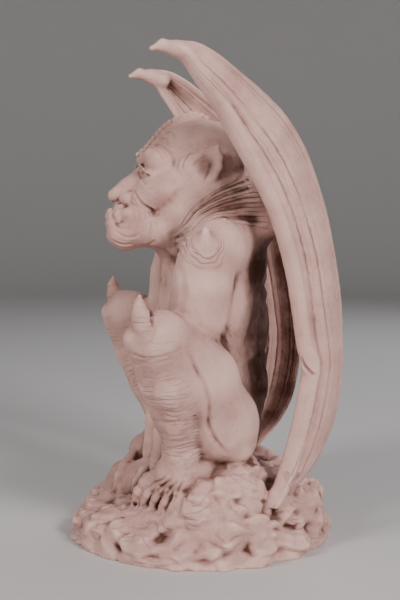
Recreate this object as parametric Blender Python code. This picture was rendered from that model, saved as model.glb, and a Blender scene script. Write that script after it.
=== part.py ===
"""A stone gargoyle: a winged figure crouching on a craggy rock, cast as one solid.

Metres, +Z up. The figure looks along -Y, its left side is +X, and the origin is the
centre of the flat underside. The forms are laid out in steps of a 450th of the height.
"""
import math
import random

import bmesh
import bpy
from mathutils import Euler, Matrix, Vector

# Driving sizes, in metres
HEIGHT = 0.450
ROCK_RADIUS = 0.113
ROCK_SHOULDER_HEIGHT = 0.030
LEDGE_BLOCK_WIDTH = 0.024
WING_BONE_RADIUS = 0.0066
WING_WEB_THICKNESS = 0.0062
RIB_RELIEF = 0.0016
CREST_KNOB_RADIUS = 0.0046
TOE_RADIUS = 0.0062

# How the skin of the solid is made
GRID_STEPS = 450
STEP = HEIGHT / GRID_STEPS
BALL_DIVISIONS = 2
SKIN_CELL = 0.0024
SMOOTH_PASSES = 3
SMOOTH_FACTOR = 0.5
TRIANGLE_COUNT = 9300

# How the rock is broken up: the balls round its rim, the upright ridges of the rear mound,
# and the height in steps that the ledges under the feet stay below
ROCK_SEED = 7
RIM_BALLS = 20
RIM_BALL_SHARE = 0.62
RIDGE_COUNT = 13
FRONT_LEVEL = 22
TOE_COUNT = 5

STONE_COLOUR = (0.56, 0.43, 0.37, 1.0)
STONE_ROUGHNESS = 0.82

SIDES = {"left": 1, "right": -1}

# Wing edges from the claw at the top down to the tip: x, y and z in steps
WING_FRONT = [
    (90, -36, 437), (91, -29, 430), (92, -15, 409), (94, 1, 386), (95, 16, 359), (96, 31, 332),
    (97, 46, 300), (97, 57, 265), (98, 64, 230), (98, 70, 190), (98, 75, 170), (97, 72.5, 152),
    (95, 69, 130), (93, 63.5, 105), (91, 54.5, 74), (90, 44, 46),
]
WING_REAR = [
    (90, -36, 450), (89, -19, 450), (88, -1, 442), (86, 21, 426), (83, 43, 409), (79, 64, 389),
    (76, 83, 358), (74, 99, 315), (72, 109.5, 272), (71, 116, 230), (71, 117.5, 190), (71, 117.5, 158),
    (71, 113, 128), (72, 106, 106), (77, 89, 78), (86, 57, 44),
]
WING_BULGE = 9.0
WING_ACROSS = 22
WING_SECTIONS = 46
# Where the fingers of the wing run, as shares of the way from the front edge to the rear one,
# and how wide each ridge is in the same shares
WING_RIBS = [(0.38, 0.055), (0.62, 0.045), (0.80, 0.05), (0.91, 0.04)]


def at(x, y, z):
    """Returns the point that lies so many steps from the origin."""
    return Vector((x, y, z)) * STEP


def smooth_step(low, high, value):
    """Returns 0 below low, 1 above high and an even ramp between them."""
    share = min(1.0, max(0.0, (value - low) / (high - low)))
    return share * share * (3.0 - 2.0 * share)


def ball_directions():
    """Returns the corners of a small icosphere as unit vectors."""
    ball = bmesh.new()
    bmesh.ops.create_icosphere(ball, subdivisions=BALL_DIVISIONS, radius=1.0)
    directions = [corner.co.copy() for corner in ball.verts]
    ball.free()
    return directions


DIRECTIONS = ball_directions()


def join_to(form, part):
    """Adds a finished part to the form and frees it."""
    mesh = bpy.data.meshes.new("part")
    part.to_mesh(mesh)
    part.free()
    form.from_mesh(mesh)
    bpy.data.meshes.remove(mesh)


def hull(form, balls):
    """Adds the tight skin around some balls, each given as x, y, z and radius in steps."""
    part = bmesh.new()
    for x, y, z, radius in balls:
        for direction in DIRECTIONS:
            part.verts.new(at(x, y, z) + direction * radius * STEP)
    skin = bmesh.ops.convex_hull(part, input=part.verts)
    inner = [item for item in skin["geom_interior"] if isinstance(item, bmesh.types.BMVert)]
    bmesh.ops.delete(part, geom=inner, context="VERTS")
    join_to(form, part)


def limb(form, balls):
    """Adds a limb: a tapered length between each ball and the next."""
    for near, far in zip(balls, balls[1:]):
        hull(form, [near, far])


def block(form, centre, half_sizes, turn):
    """Adds a turned rectangular block of stone."""
    part = bmesh.new()
    bmesh.ops.create_cube(part, size=2.0)
    place = Matrix.Translation(centre) @ turn.to_matrix().to_4x4() @ Matrix.Diagonal((*half_sizes, 1.0))
    bmesh.ops.transform(part, matrix=place, verts=part.verts)
    join_to(form, part)


def mirrored(balls, side, shift=(0, 0, 0)):
    """Returns balls given for the left side, put on the stated side and shifted in steps."""
    return [(side * x + shift[0], y + shift[1], z + shift[2], radius) for x, y, z, radius in balls]


def add_rock(form):
    """Adds the rock: a round foot, a seat, two aprons under the feet and a mound behind."""
    reach = ROCK_RADIUS / STEP
    shoulder = ROCK_SHOULDER_HEIGHT / STEP
    rim_ball = shoulder * RIM_BALL_SHARE
    rim = []
    for index in range(RIM_BALLS):
        angle = index * math.tau / RIM_BALLS
        rim.append((math.cos(angle) * (reach - rim_ball), math.sin(angle) * (reach - rim_ball), 2, rim_ball))
    foot = [(x, y, z + shoulder - rim_ball - 4, radius) for x, y, z, radius in rim]
    hull(form, [(x, y, -10, radius) for x, y, z, radius in rim] + foot)
    hull(form, [(-60, -62, 0, 22), (60, -56, 4, 22), (-60, 0, 36, 26), (62, 8, 43, 24), (0, 30, 36, 34)])
    hull(form, [(-44, 10, 56, 28), (44, 12, 58, 28), (0, 22, 52, 30), (0, -22, 34, 26)])
    hull(form, [(66, 24, 60, 22), (-66, 24, 60, 22), (70, 30, 10, 26), (-70, 30, 10, 26)])
    hull(form, [(-60, 78, 26, 24), (60, 78, 26, 24), (-30, 60, 24, 26), (30, 60, 24, 26), (0, 92, 22, 22)])
    for side in SIDES.values():
        hull(form, mirrored([(84, -22, 42, 14), (84, 2, 57, 15), (74, 22, 66, 16), (92, 8, 14, 16)], side))
    limb(form, [(-66, -44, 52, 13), (-70, -64, 38, 15), (-68, -84, 16, 15), (-60, -96, 4, 13)])
    limb(form, [(-28, -72, 20, 12), (-50, -66, 24, 13), (-60, -60, 32, 14)])
    add_rear_mound(form)
    add_ledges(form)


def add_rear_mound(form):
    """Adds the flowing upright ridges of the mound that the wing tips rest on."""
    pick = random.Random(ROCK_SEED + 1)
    reach = ROCK_RADIUS / STEP
    for index in range(RIDGE_COUNT):
        side = 2.0 * index / (RIDGE_COUNT - 1) - 1.0
        angle = math.radians(90 - 56 * side)
        radius = reach - 9 + pick.uniform(-2, 2)
        top = 38 + 20 * abs(side) + pick.uniform(-5, 5)
        width = pick.uniform(7.5, 10.5)
        crest = (math.cos(angle) * radius, math.sin(angle) * radius, top, width)
        drift = angle + pick.uniform(-0.07, 0.07)
        waist = (math.cos(drift) * (radius + 6), math.sin(drift) * (radius + 6), top * 0.55, width * 0.9)
        toe = (math.cos(drift) * (radius + 14), math.sin(drift) * (radius + 14), 11, width * 1.1)
        limb(form, [(crest[0] * 0.82, crest[1] * 0.82, top - 4, width), crest, waist, toe])


def add_ledges(form):
    """Lays broken ledges round the rock in rows that step back as they rise."""
    pick = random.Random(ROCK_SEED)
    reach = ROCK_RADIUS / STEP
    width = LEDGE_BLOCK_WIDTH / STEP
    rows = ((6, 0.0, 26), (17, 4.0, 24), (28, 14.0, 20), (38, 27.0, 15))
    for height, inset, count in rows:
        for index in range(count):
            angle = (index + pick.uniform(-0.3, 0.3)) * math.tau / count
            radius = reach - inset - width * 0.38 + pick.uniform(-3.5, 3.5)
            lowered = min(height, FRONT_LEVEL) - height
            level = height + lowered * smooth_step(0.1, 0.5, -math.sin(angle))
            centre = at(math.cos(angle) * radius, math.sin(angle) * radius, level + pick.uniform(-3, 3))
            depth = width * pick.uniform(0.30, 0.46)
            half = Vector((depth, width * pick.uniform(0.5, 0.75), pick.uniform(4, 7)))
            roll = pick.uniform(-0.35, 0.35)
            pitch = pick.uniform(-0.25, 0.35)
            turn = Euler((roll, pitch, angle + pick.uniform(-0.35, 0.35)))
            block(form, centre, half * STEP, turn)


def add_trunk(form):
    """Adds the hips, belly, chest, the broad humped back and the thick neck."""
    hull(form, [(-30, 8, 104, 32), (30, 8, 104, 32), (-24, 4, 150, 34), (24, 4, 150, 34)])
    hull(form, [(-24, 4, 150, 34), (24, 4, 150, 34), (-36, 4, 225, 34), (36, 4, 225, 34)])
    hull(form, [(-36, 4, 225, 34), (36, 4, 225, 34), (-46, 10, 284, 30), (46, 10, 284, 30), (0, 20, 305, 30)])
    hull(form, [(-12, -16, 160, 26), (12, -16, 160, 26), (0, -8, 120, 26)])
    for side in SIDES.values():
        hull(form, mirrored([(14, -20, 240, 17), (32, -16, 246, 17), (26, -12, 262, 17)], side))
        hull(form, mirrored([(32, 20, 106, 25), (30, 18, 118, 24)], side))
        limb(form, mirrored([(24, 38, 214, 10), (33, 40, 254, 13), (28, 38, 288, 14)], side))
    limb(form, [(0, 36, 96, 22), (0, 42, 140, 21), (0, 43, 200, 21), (0, 41, 262, 21), (0, 34, 305, 22)])
    hull(form, [(-46, 10, 284, 28), (46, 10, 284, 28), (-14, 14, 348, 36), (14, 14, 348, 36)])
    hull(form, [(-18, -14, 268, 26), (18, -14, 268, 26), (0, -14, 320, 34)])


def add_head(form):
    """Adds the skull, brow, nose, lips and jaw, the ears and the crest of knobs."""
    hull(form, [(-7, -14, 352, 33), (7, -14, 352, 33), (-5, 6, 361, 36), (5, 6, 361, 36)])
    hull(form, [(-12, -34, 342, 24), (12, -34, 342, 24), (0, -26, 320, 30)])
    for side in SIDES.values():
        brow = [(3, -55, 348, 8), (15, -52, 352, 8), (27, -42, 351, 8), (33, -28, 343, 7)]
        limb(form, mirrored(brow, side))
        hull(form, mirrored([(20, -44, 326, 12), (27, -30, 314, 15), (22, -38, 300, 14)], side))
        hull(form, mirrored([(8, -68, 318, 6), (4, -76, 322, 6), (6, -60, 330, 6)], side))
        hull(form, mirrored([(7, -66, 320, 7), (16, -52, 322, 11), (12, -56, 308, 10)], side))
        hull(form, mirrored([(8, -68, 302, 8), (22, -46, 298, 10), (10, -60, 310, 9)], side))
        hull(form, mirrored([(30, -24, 298, 14), (26, -34, 290, 14), (28, -8, 312, 15)], side))
        hull(form, mirrored([(26, -36, 289, 13), (9, -72, 285, 11), (9, -64, 282, 8)], side))
        limb(form, mirrored([(10, -78, 296, 3.6), (9.5, -81, 304, 2.2)], side))
        add_ear(form, side)
    limb(form, [(0, -54, 346, 8), (0, -66, 336, 7.5), (0, -80, 322, 8)])
    hull(form, [(-8, -70, 304, 8), (8, -70, 304, 8), (0, -60, 310, 12)])
    hull(form, [(-9, -79, 291, 9), (9, -79, 291, 9), (-8, -75, 280, 9), (8, -75, 280, 9), (0, -50, 292, 18)])
    knob = CREST_KNOB_RADIUS / STEP
    crest = [(-58, 356), (-51, 365), (-43, 374), (-34, 381), (-24, 387), (-13, 391), (-2, 394), (10, 394)]
    for y, z in crest:
        hull(form, [(0, y, z, knob), (0, y + 3, z - 6, knob)])


def add_ear(form, side):
    """Adds a pointed ear that stands off the head and sweeps back, with a rolled rim."""
    root = [(36, -18, 344, 6), (37, -13, 322, 6.5), (34, -8, 334, 9)]
    tip = (58, 11, 361, 2.4)
    hull(form, mirrored([*root, (50, 0, 350, 3.2), (47, -1, 334, 3.6)], side))
    limb(form, mirrored([(38, -19, 343, 4.4), (48, -9, 354, 3.8), tip], side))
    limb(form, mirrored([(39, -12, 320, 4.6), (50, 3, 337, 3.8), tip], side))
    hull(form, mirrored([(50, 0, 350, 3.2), (49, 1, 338, 3.2), tip], side))


def add_arm(form, side):
    """Adds the shoulder knob, the thick upper arm and the forearm down between the legs."""
    hull(form, mirrored([(64, 4, 276, 26), (40, 6, 270, 30), (74, -8, 262, 23)], side))
    upper = [(76, -8, 266, 23), (77, -11, 244, 25), (74, -14, 220, 25), (66, -16, 196, 20)]
    lower = [(66, -16, 196, 19), (48, -26, 150, 16), (32, -36, 100, 12.5), (28, -42, 68, 11)]
    limb(form, mirrored(upper, side))
    limb(form, mirrored(lower, side))
    limb(form, mirrored([(88, -10, 281, 11), (92, -11, 284, 9), (93, -12, 292, 2.5)], side))
    for spread in (-9, -3, 3, 9):
        middle = (27 + spread * 1.5, -55, 51, 5)
        tip = (27 + spread * 1.6, -62, 40, 4)
        limb(form, mirrored([(27 + spread, -42, 60, 5.5), middle, tip], side))


def add_leg(form, side, shift, ankle_shift):
    """Adds a folded leg: thigh, knee with its spike, shin and calf, ankle and heel."""
    hull(form, mirrored([(36, 10, 108, 29), (61, 6, 116, 38), (46, 12, 96, 27)], side))
    hull(form, mirrored([(64, 22, 100, 17), (72, 20, 95, 15), (50, 20, 95, 17), (64, 14, 122, 27)], side))
    limb(form, mirrored([(62, 4, 122, 37.5), (79, -13, 160, 32.5), (100, -50, 198, 25)], side))
    hull(form, mirrored([(103, -58, 203, 22), (98, -50, 198, 25), (104, -56, 192, 21)], side, shift))
    shin = [(103, -55, 192, 22), (96, -43, 160, 21), (82, -34, 126, 18), (69, -28, 104, 17)]
    limb(form, mirrored(shin[:-1], side, shift) + mirrored(shin[-1:], side, ankle_shift))
    limb(form, mirrored([(96, -40, 180, 20), (90, -34, 156, 20), (76, -24, 122, 16)], side, shift))
    spike = [(112, -65, 202, 10.5), (113, -67.5, 214, 9.2), (113, -69.5, 223, 7.4), (112, -70.5, 230, 5)]
    limb(form, mirrored([*spike, (111, -69.5, 236, 1.6)], side, shift))


def add_foot(form, side, heel_shift, shift):
    """Adds a foot that slopes down the rock, with five clawed toes spread like a fan."""
    heel = [(68, -26, 98, 16), (66, -8, 84, 14), (57, -30, 96, 9), (78, -20, 92, 9)]
    heel = mirrored(heel, side, heel_shift)
    instep = mirrored([(62, -36, 74, 13), (74, -24, 69, 13)], side, shift)
    hull(form, heel)
    hull(form, heel[:2] + instep)
    toe = TOE_RADIUS / STEP
    for index in range(TOE_COUNT):
        share = index / (TOE_COUNT - 1)
        root = (54 + 20 * share, -42 + 16 * share, 73, toe * 1.35)
        knuckle = (45 + 31 * share, -59 + 26 * share, 56, toe * 1.2)
        joint = (40 + 36 * share, -67 + 27 * share, 46, toe * 1.05)
        tip = (34 + 43 * share, -72 + 28 * share, 36, toe * 0.5)
        limb(form, mirrored([root, knuckle, joint, tip], side, shift))


def wing_section(front, rear, side, across_count):
    """Returns the ring of points round one section of a wing, outer face first.

    The leading edge is a round bone, the web behind it bulges outwards between the edges
    and carries the ridges of the fingers.
    """
    chord = rear - front
    outward = Vector((chord.y, -chord.x, 0.0)).normalized()
    if outward.x < 0:
        outward = -outward
    bone_share = min(0.45, WING_BONE_RADIUS / max(chord.length, WING_BONE_RADIUS))
    outer = []
    inner = []
    for index in range(across_count + 1):
        share = index / across_count
        arch = math.sin(math.pi * share) * WING_BULGE * STEP * min(1.0, chord.length / (40 * STEP))
        half = WING_WEB_THICKNESS / 2
        edge = min(share, 1.0 - share) / bone_share
        if edge < 1.0:
            half *= math.sqrt(1.0 - (1.0 - edge) ** 2)
        bone = 1.0 - abs(share - bone_share) / bone_share
        if bone > 0.0:
            half = max(half, WING_BONE_RADIUS * math.sqrt(1.0 - (1.0 - bone) ** 2))
        for place, width in WING_RIBS:
            half += RIB_RELIEF * math.exp(-(((share - place) / width) ** 2))
        middle = front + chord * share + outward * arch
        outer.append(middle + outward * half)
        inner.append(middle - outward * half)
    ring = outer + inner[::-1]
    return [Vector((side * point.x, point.y, point.z)) for point in ring]


def between(points, share):
    """Returns the point at a share of the way along a smooth line through the points."""
    place = share * (len(points) - 1)
    index = min(int(place), len(points) - 2)
    rest = place - index
    before = Vector(points[max(index - 1, 0)])
    start = Vector(points[index])
    end = Vector(points[index + 1])
    after = Vector(points[min(index + 2, len(points) - 1)])
    bend_in = (end - before) / 2
    bend_out = (after - start) / 2
    square = rest * rest
    cube = square * rest
    point = start * (2 * cube - 3 * square + 1) + bend_in * (cube - 2 * square + rest)
    return point + end * (3 * square - 2 * cube) + bend_out * (cube - square)


def add_wing(form, side):
    """Adds a wing: the ribbed blade, the claw at its wrist, and its root in the back."""
    part = bmesh.new()
    rings = []
    for index in range(WING_SECTIONS):
        share = index / (WING_SECTIONS - 1)
        front = between(WING_FRONT, share) * STEP
        rear = between(WING_REAR, share) * STEP
        ring = wing_section(front, rear, side, WING_ACROSS)
        rings.append([part.verts.new(point) for point in ring])
    corners = len(rings[0])
    for upper, lower in zip(rings, rings[1:]):
        for index in range(corners):
            after = (index + 1) % corners
            part.faces.new((upper[index], upper[after], lower[after], lower[index]))
    part.faces.new(rings[0])
    part.faces.new(rings[-1][::-1])
    bmesh.ops.recalc_face_normals(part, faces=part.faces)
    join_to(form, part)
    claw = [(90, -26, 441, 8), (90, -38, 444, 6.4), (90, -50, 446, 4.8), (90, -56, 443, 2.6)]
    limb(form, mirrored(claw, side))
    finger = [(98, 71, 190, 7), (98, 75, 174, 5.4), (97.5, 76, 168, 2.4)]
    limb(form, mirrored(finger, side))
    limb(form, mirrored([(34, 28, 296, 22), (60, 42, 322, 16), (82, 40, 352, 10), (88, 10, 400, 8)], side))
    hull(form, mirrored([(28, 30, 250, 16), (34, 28, 300, 20), (60, 44, 322, 14), (86, 64, 312, 6)], side))
    hull(form, mirrored([(86, 54, 46, 12), (74, 82, 44, 14), (70, 60, 24, 16)], side))


def outer_skin(mesh):
    """Keeps only the largest shell of a mesh, which closes hidden hollows."""
    form = bmesh.new()
    form.from_mesh(mesh)
    shells = []
    seen = set()
    for start in form.faces:
        if start in seen:
            continue
        seen.add(start)
        shell = [start]
        for face in shell:
            for edge in face.edges:
                for other in edge.link_faces:
                    if other not in seen:
                        seen.add(other)
                        shell.append(other)
        shells.append(shell)
    shells.sort(key=len, reverse=True)
    spare = [face for shell in shells[1:] for face in shell]
    bmesh.ops.delete(form, geom=spare, context="FACES")
    form.to_mesh(mesh)
    form.free()


def evaluated_mesh(shape):
    """Returns the mesh of an object with its modifiers applied."""
    graph = bpy.context.evaluated_depsgraph_get()
    return bpy.data.meshes.new_from_object(shape.evaluated_get(graph))


def stone_material():
    """Returns the pale pinkish stone."""
    stone = bpy.data.materials.new("stone")
    stone.use_nodes = True
    shader = stone.node_tree.nodes["Principled BSDF"]
    shader.inputs["Base Color"].default_value = STONE_COLOUR
    shader.inputs["Roughness"].default_value = STONE_ROUGHNESS
    shader.inputs["Metallic"].default_value = 0.0
    return stone


def floor_cutter():
    """Returns the hidden block that cuts the underside flat at the ground."""
    part = bmesh.new()
    bmesh.ops.create_cube(part, size=1.0)
    reach = (ROCK_RADIUS + HEIGHT) * 2
    bmesh.ops.scale(part, vec=(reach, reach, HEIGHT), verts=part.verts)
    bmesh.ops.translate(part, vec=(0.0, 0.0, -HEIGHT / 2), verts=part.verts)
    mesh = bpy.data.meshes.new("floor_cutter")
    part.to_mesh(mesh)
    part.free()
    cutter = bpy.data.objects.new("floor_cutter", mesh)
    cutter.hide_render = True
    cutter.display_type = "WIRE"
    bpy.context.collection.objects.link(cutter)
    return cutter


def build_form():
    """Returns the mesh of every volume of the figure, still overlapping."""
    form = bmesh.new()
    add_rock(form)
    add_trunk(form)
    add_head(form)
    for side_name, side in SIDES.items():
        knee_shift = (0, 0, 0) if side_name == "left" else (0, -2.5, 3)
        heel_shift = (0, 0, 0) if side_name == "left" else (5, 5, -6)
        foot_shift = (0, 0, 0) if side_name == "left" else (3, -11, -3)
        add_arm(form, side)
        add_leg(form, side, knee_shift, heel_shift)
        add_foot(form, side, heel_shift, foot_shift)
        add_wing(form, side)
    mesh = bpy.data.meshes.new("gargoyle_forms")
    form.to_mesh(mesh)
    form.free()
    return mesh


def main():
    """Builds the gargoyle as one closed solid."""
    for leftover in list(bpy.data.objects):
        bpy.data.objects.remove(leftover)
    gargoyle = bpy.data.objects.new("gargoyle", build_form())
    bpy.context.collection.objects.link(gargoyle)
    skin = gargoyle.modifiers.new("one skin", "REMESH")
    skin.mode = "VOXEL"
    skin.voxel_size = SKIN_CELL
    soften = gargoyle.modifiers.new("soften", "SMOOTH")
    soften.factor = SMOOTH_FACTOR
    soften.iterations = SMOOTH_PASSES
    mesh = evaluated_mesh(gargoyle)
    outer_skin(mesh)
    mesh.name = "gargoyle"
    gargoyle.modifiers.clear()
    gargoyle.data = mesh
    mesh.calc_loop_triangles()
    thin = gargoyle.modifiers.new("fewer faces", "DECIMATE")
    thin.ratio = min(1.0, TRIANGLE_COUNT / len(mesh.loop_triangles))
    cut = gargoyle.modifiers.new("flat underside", "BOOLEAN")
    cut.operation = "DIFFERENCE"
    cut.solver = "EXACT"
    cut.object = floor_cutter()
    mesh.materials.append(stone_material())
    mesh.shade_smooth()


main()
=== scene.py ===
"""A stone gargoyle, crouching with raised wings on a craggy round rock.

The figure, its wings and the rock are one casting, so they are modelled as one piece.
Big forms are laid in a block of voxels, the skin of that block is meshed, and the fine
carving is then pressed and drawn into the mesh, as a carver would work from the rough
form to the last tool mark. Places are in steps of a 450th of the figure's height, in the
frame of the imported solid: +Z up, the figure looks along -Y and its left side is +X.
"""
from __future__ import annotations

import logging
import math
import random
from dataclasses import dataclass, field
from enum import Enum

import bmesh
import bpy
import numpy as np
import openvdb
from mathutils import Euler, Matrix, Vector
from mathutils.kdtree import KDTree

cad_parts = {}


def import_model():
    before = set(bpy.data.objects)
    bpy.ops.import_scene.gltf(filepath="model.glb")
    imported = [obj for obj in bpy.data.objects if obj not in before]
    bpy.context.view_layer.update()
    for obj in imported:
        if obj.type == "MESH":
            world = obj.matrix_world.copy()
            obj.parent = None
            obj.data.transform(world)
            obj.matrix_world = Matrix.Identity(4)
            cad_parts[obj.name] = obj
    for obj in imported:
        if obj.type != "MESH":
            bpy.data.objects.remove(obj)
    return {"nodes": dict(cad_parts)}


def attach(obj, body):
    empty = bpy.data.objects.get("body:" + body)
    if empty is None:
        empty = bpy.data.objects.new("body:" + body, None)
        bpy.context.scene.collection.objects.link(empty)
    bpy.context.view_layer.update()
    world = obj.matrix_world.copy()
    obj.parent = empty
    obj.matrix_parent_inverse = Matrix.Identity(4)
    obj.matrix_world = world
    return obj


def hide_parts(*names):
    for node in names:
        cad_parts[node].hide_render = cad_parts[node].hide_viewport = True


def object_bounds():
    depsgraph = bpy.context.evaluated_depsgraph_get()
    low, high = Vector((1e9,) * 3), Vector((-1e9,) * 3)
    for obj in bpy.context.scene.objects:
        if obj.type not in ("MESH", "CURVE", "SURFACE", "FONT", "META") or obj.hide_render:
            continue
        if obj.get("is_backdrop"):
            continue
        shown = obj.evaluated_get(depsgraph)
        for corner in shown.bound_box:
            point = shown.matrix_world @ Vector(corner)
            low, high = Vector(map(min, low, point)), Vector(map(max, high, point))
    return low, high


LOG = logging.getLogger("gargoyle")
Ball = tuple[float, float, float, float]
Place = tuple[float, float, float]
Flat = tuple[float, float]

GRID_STEPS = 450
FINE_CELL = 1.2
FAR = 24.0
THROW = 200.0
TRIANGLES = 196000
FINE_WEIGHT = 0.35
SIDES = (1, -1)


class Facing(Enum):
    """The direction from which a line is drawn on the stone."""

    SIDE = "side"
    FRONT = "front"
    BACK = "back"


def mirrored(balls: list[Ball], side: int, shift: Place = (0, 0, 0)) -> list[Ball]:
    """Puts balls that are given for the left side on one side.

    Args:
        balls: Balls as x, y, z and radius.
        side: 1 for the left side and -1 for the right.
        shift: How far the balls are moved after that.

    Returns:
        The moved balls.
    """
    return [(side * x + shift[0], y + shift[1], z + shift[2], radius) for x, y, z, radius in balls]


def smooth_step(low: float, high: float, value: np.ndarray) -> np.ndarray:
    """Gives 0 below low, 1 above high and an even ramp between them.

    Args:
        low: Where the ramp starts.
        high: Where the ramp ends.
        value: The values to look up.

    Returns:
        The share for each value.
    """
    share = np.clip((value - low) / (high - low), 0.0, 1.0)
    return share * share * (3.0 - 2.0 * share)


def spline(points: list[Place], count: int) -> np.ndarray:
    """Reads evenly numbered points from a smooth line through the given ones.

    Args:
        points: The places that the line passes through.
        count: How many points are read.

    Returns:
        An array of count points.
    """
    nodes = np.array(points, dtype=float)
    place = np.linspace(0.0, len(nodes) - 1.0, count)
    index = np.minimum(place.astype(int), len(nodes) - 2)
    rest = (place - index)[:, None]
    before = nodes[np.maximum(index - 1, 0)]
    start = nodes[index]
    end = nodes[index + 1]
    after = nodes[np.minimum(index + 2, len(nodes) - 1)]
    bend_in = (end - before) / 2
    bend_out = (after - start) / 2
    square = rest * rest
    cube = square * rest
    line = start * (2 * cube - 3 * square + 1) + bend_in * (cube - 2 * square + rest)
    return line + end * (3 * square - 2 * cube) + bend_out * (cube - square)


def lattice_noise(points: np.ndarray, size: float, seed: int) -> np.ndarray:
    """Gives smooth noise between -1 and 1.

    Args:
        points: Where the noise is read.
        size: The width of one lump.
        seed: Which noise is read.

    Returns:
        One value for each point.
    """
    side = 32
    table = np.random.default_rng(seed).uniform(-1.0, 1.0, (side, side, side)).astype(np.float32)
    scaled = points / size
    cell = np.floor(scaled).astype(int)
    rest = scaled - cell
    rest = rest * rest * (3.0 - 2.0 * rest)
    total = np.zeros(len(points), dtype=np.float32)
    for corner in range(8):
        step = np.array([corner & 1, (corner >> 1) & 1, (corner >> 2) & 1])
        weight = np.prod(np.where(step, rest, 1.0 - rest), axis=1)
        place = (cell + step) % side
        total += (weight * table[place[:, 0], place[:, 1], place[:, 2]]).astype(np.float32)
    return total


def broken_faces(points: np.ndarray, size: float, seed: int) -> tuple[np.ndarray, np.ndarray]:
    """Breaks space into flat chips that lean every way, as cracked stone breaks.

    Args:
        points: Where the chips are read.
        size: The width of one chip.
        seed: Which chips are read.

    Returns:
        How far the chip's face is sunk, about -1 to 1, and the distance to the next chip's border.
    """
    side = 16
    draw = np.random.default_rng(seed)
    table = draw.uniform(0.0, 1.0, (side, side, side, 3)).astype(np.float32)
    lean = draw.uniform(-1.0, 1.0, (side, side, side, 4)).astype(np.float32)
    scaled = (points / size).astype(np.float32)
    cell = np.floor(scaled).astype(int)
    first = np.full(len(points), 9.0, dtype=np.float32)
    second = first.copy()
    face = np.zeros(len(points), dtype=np.float32)
    for index in range(27):
        step = np.array([index % 3 - 1, (index // 3) % 3 - 1, index // 9 - 1])
        near = cell + step
        place = near % side
        away = scaled - near - table[place[:, 0], place[:, 1], place[:, 2]]
        gap = np.sqrt((away ** 2).sum(axis=1)).astype(np.float32)
        own = lean[place[:, 0], place[:, 1], place[:, 2]]
        sunk = (away * own[:, :3]).sum(axis=1) + own[:, 3] * 0.4
        face = np.where(gap < first, sunk, face)
        second = np.minimum(second, np.maximum(first, gap))
        first = np.minimum(first, gap)
    return face, second - first


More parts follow.
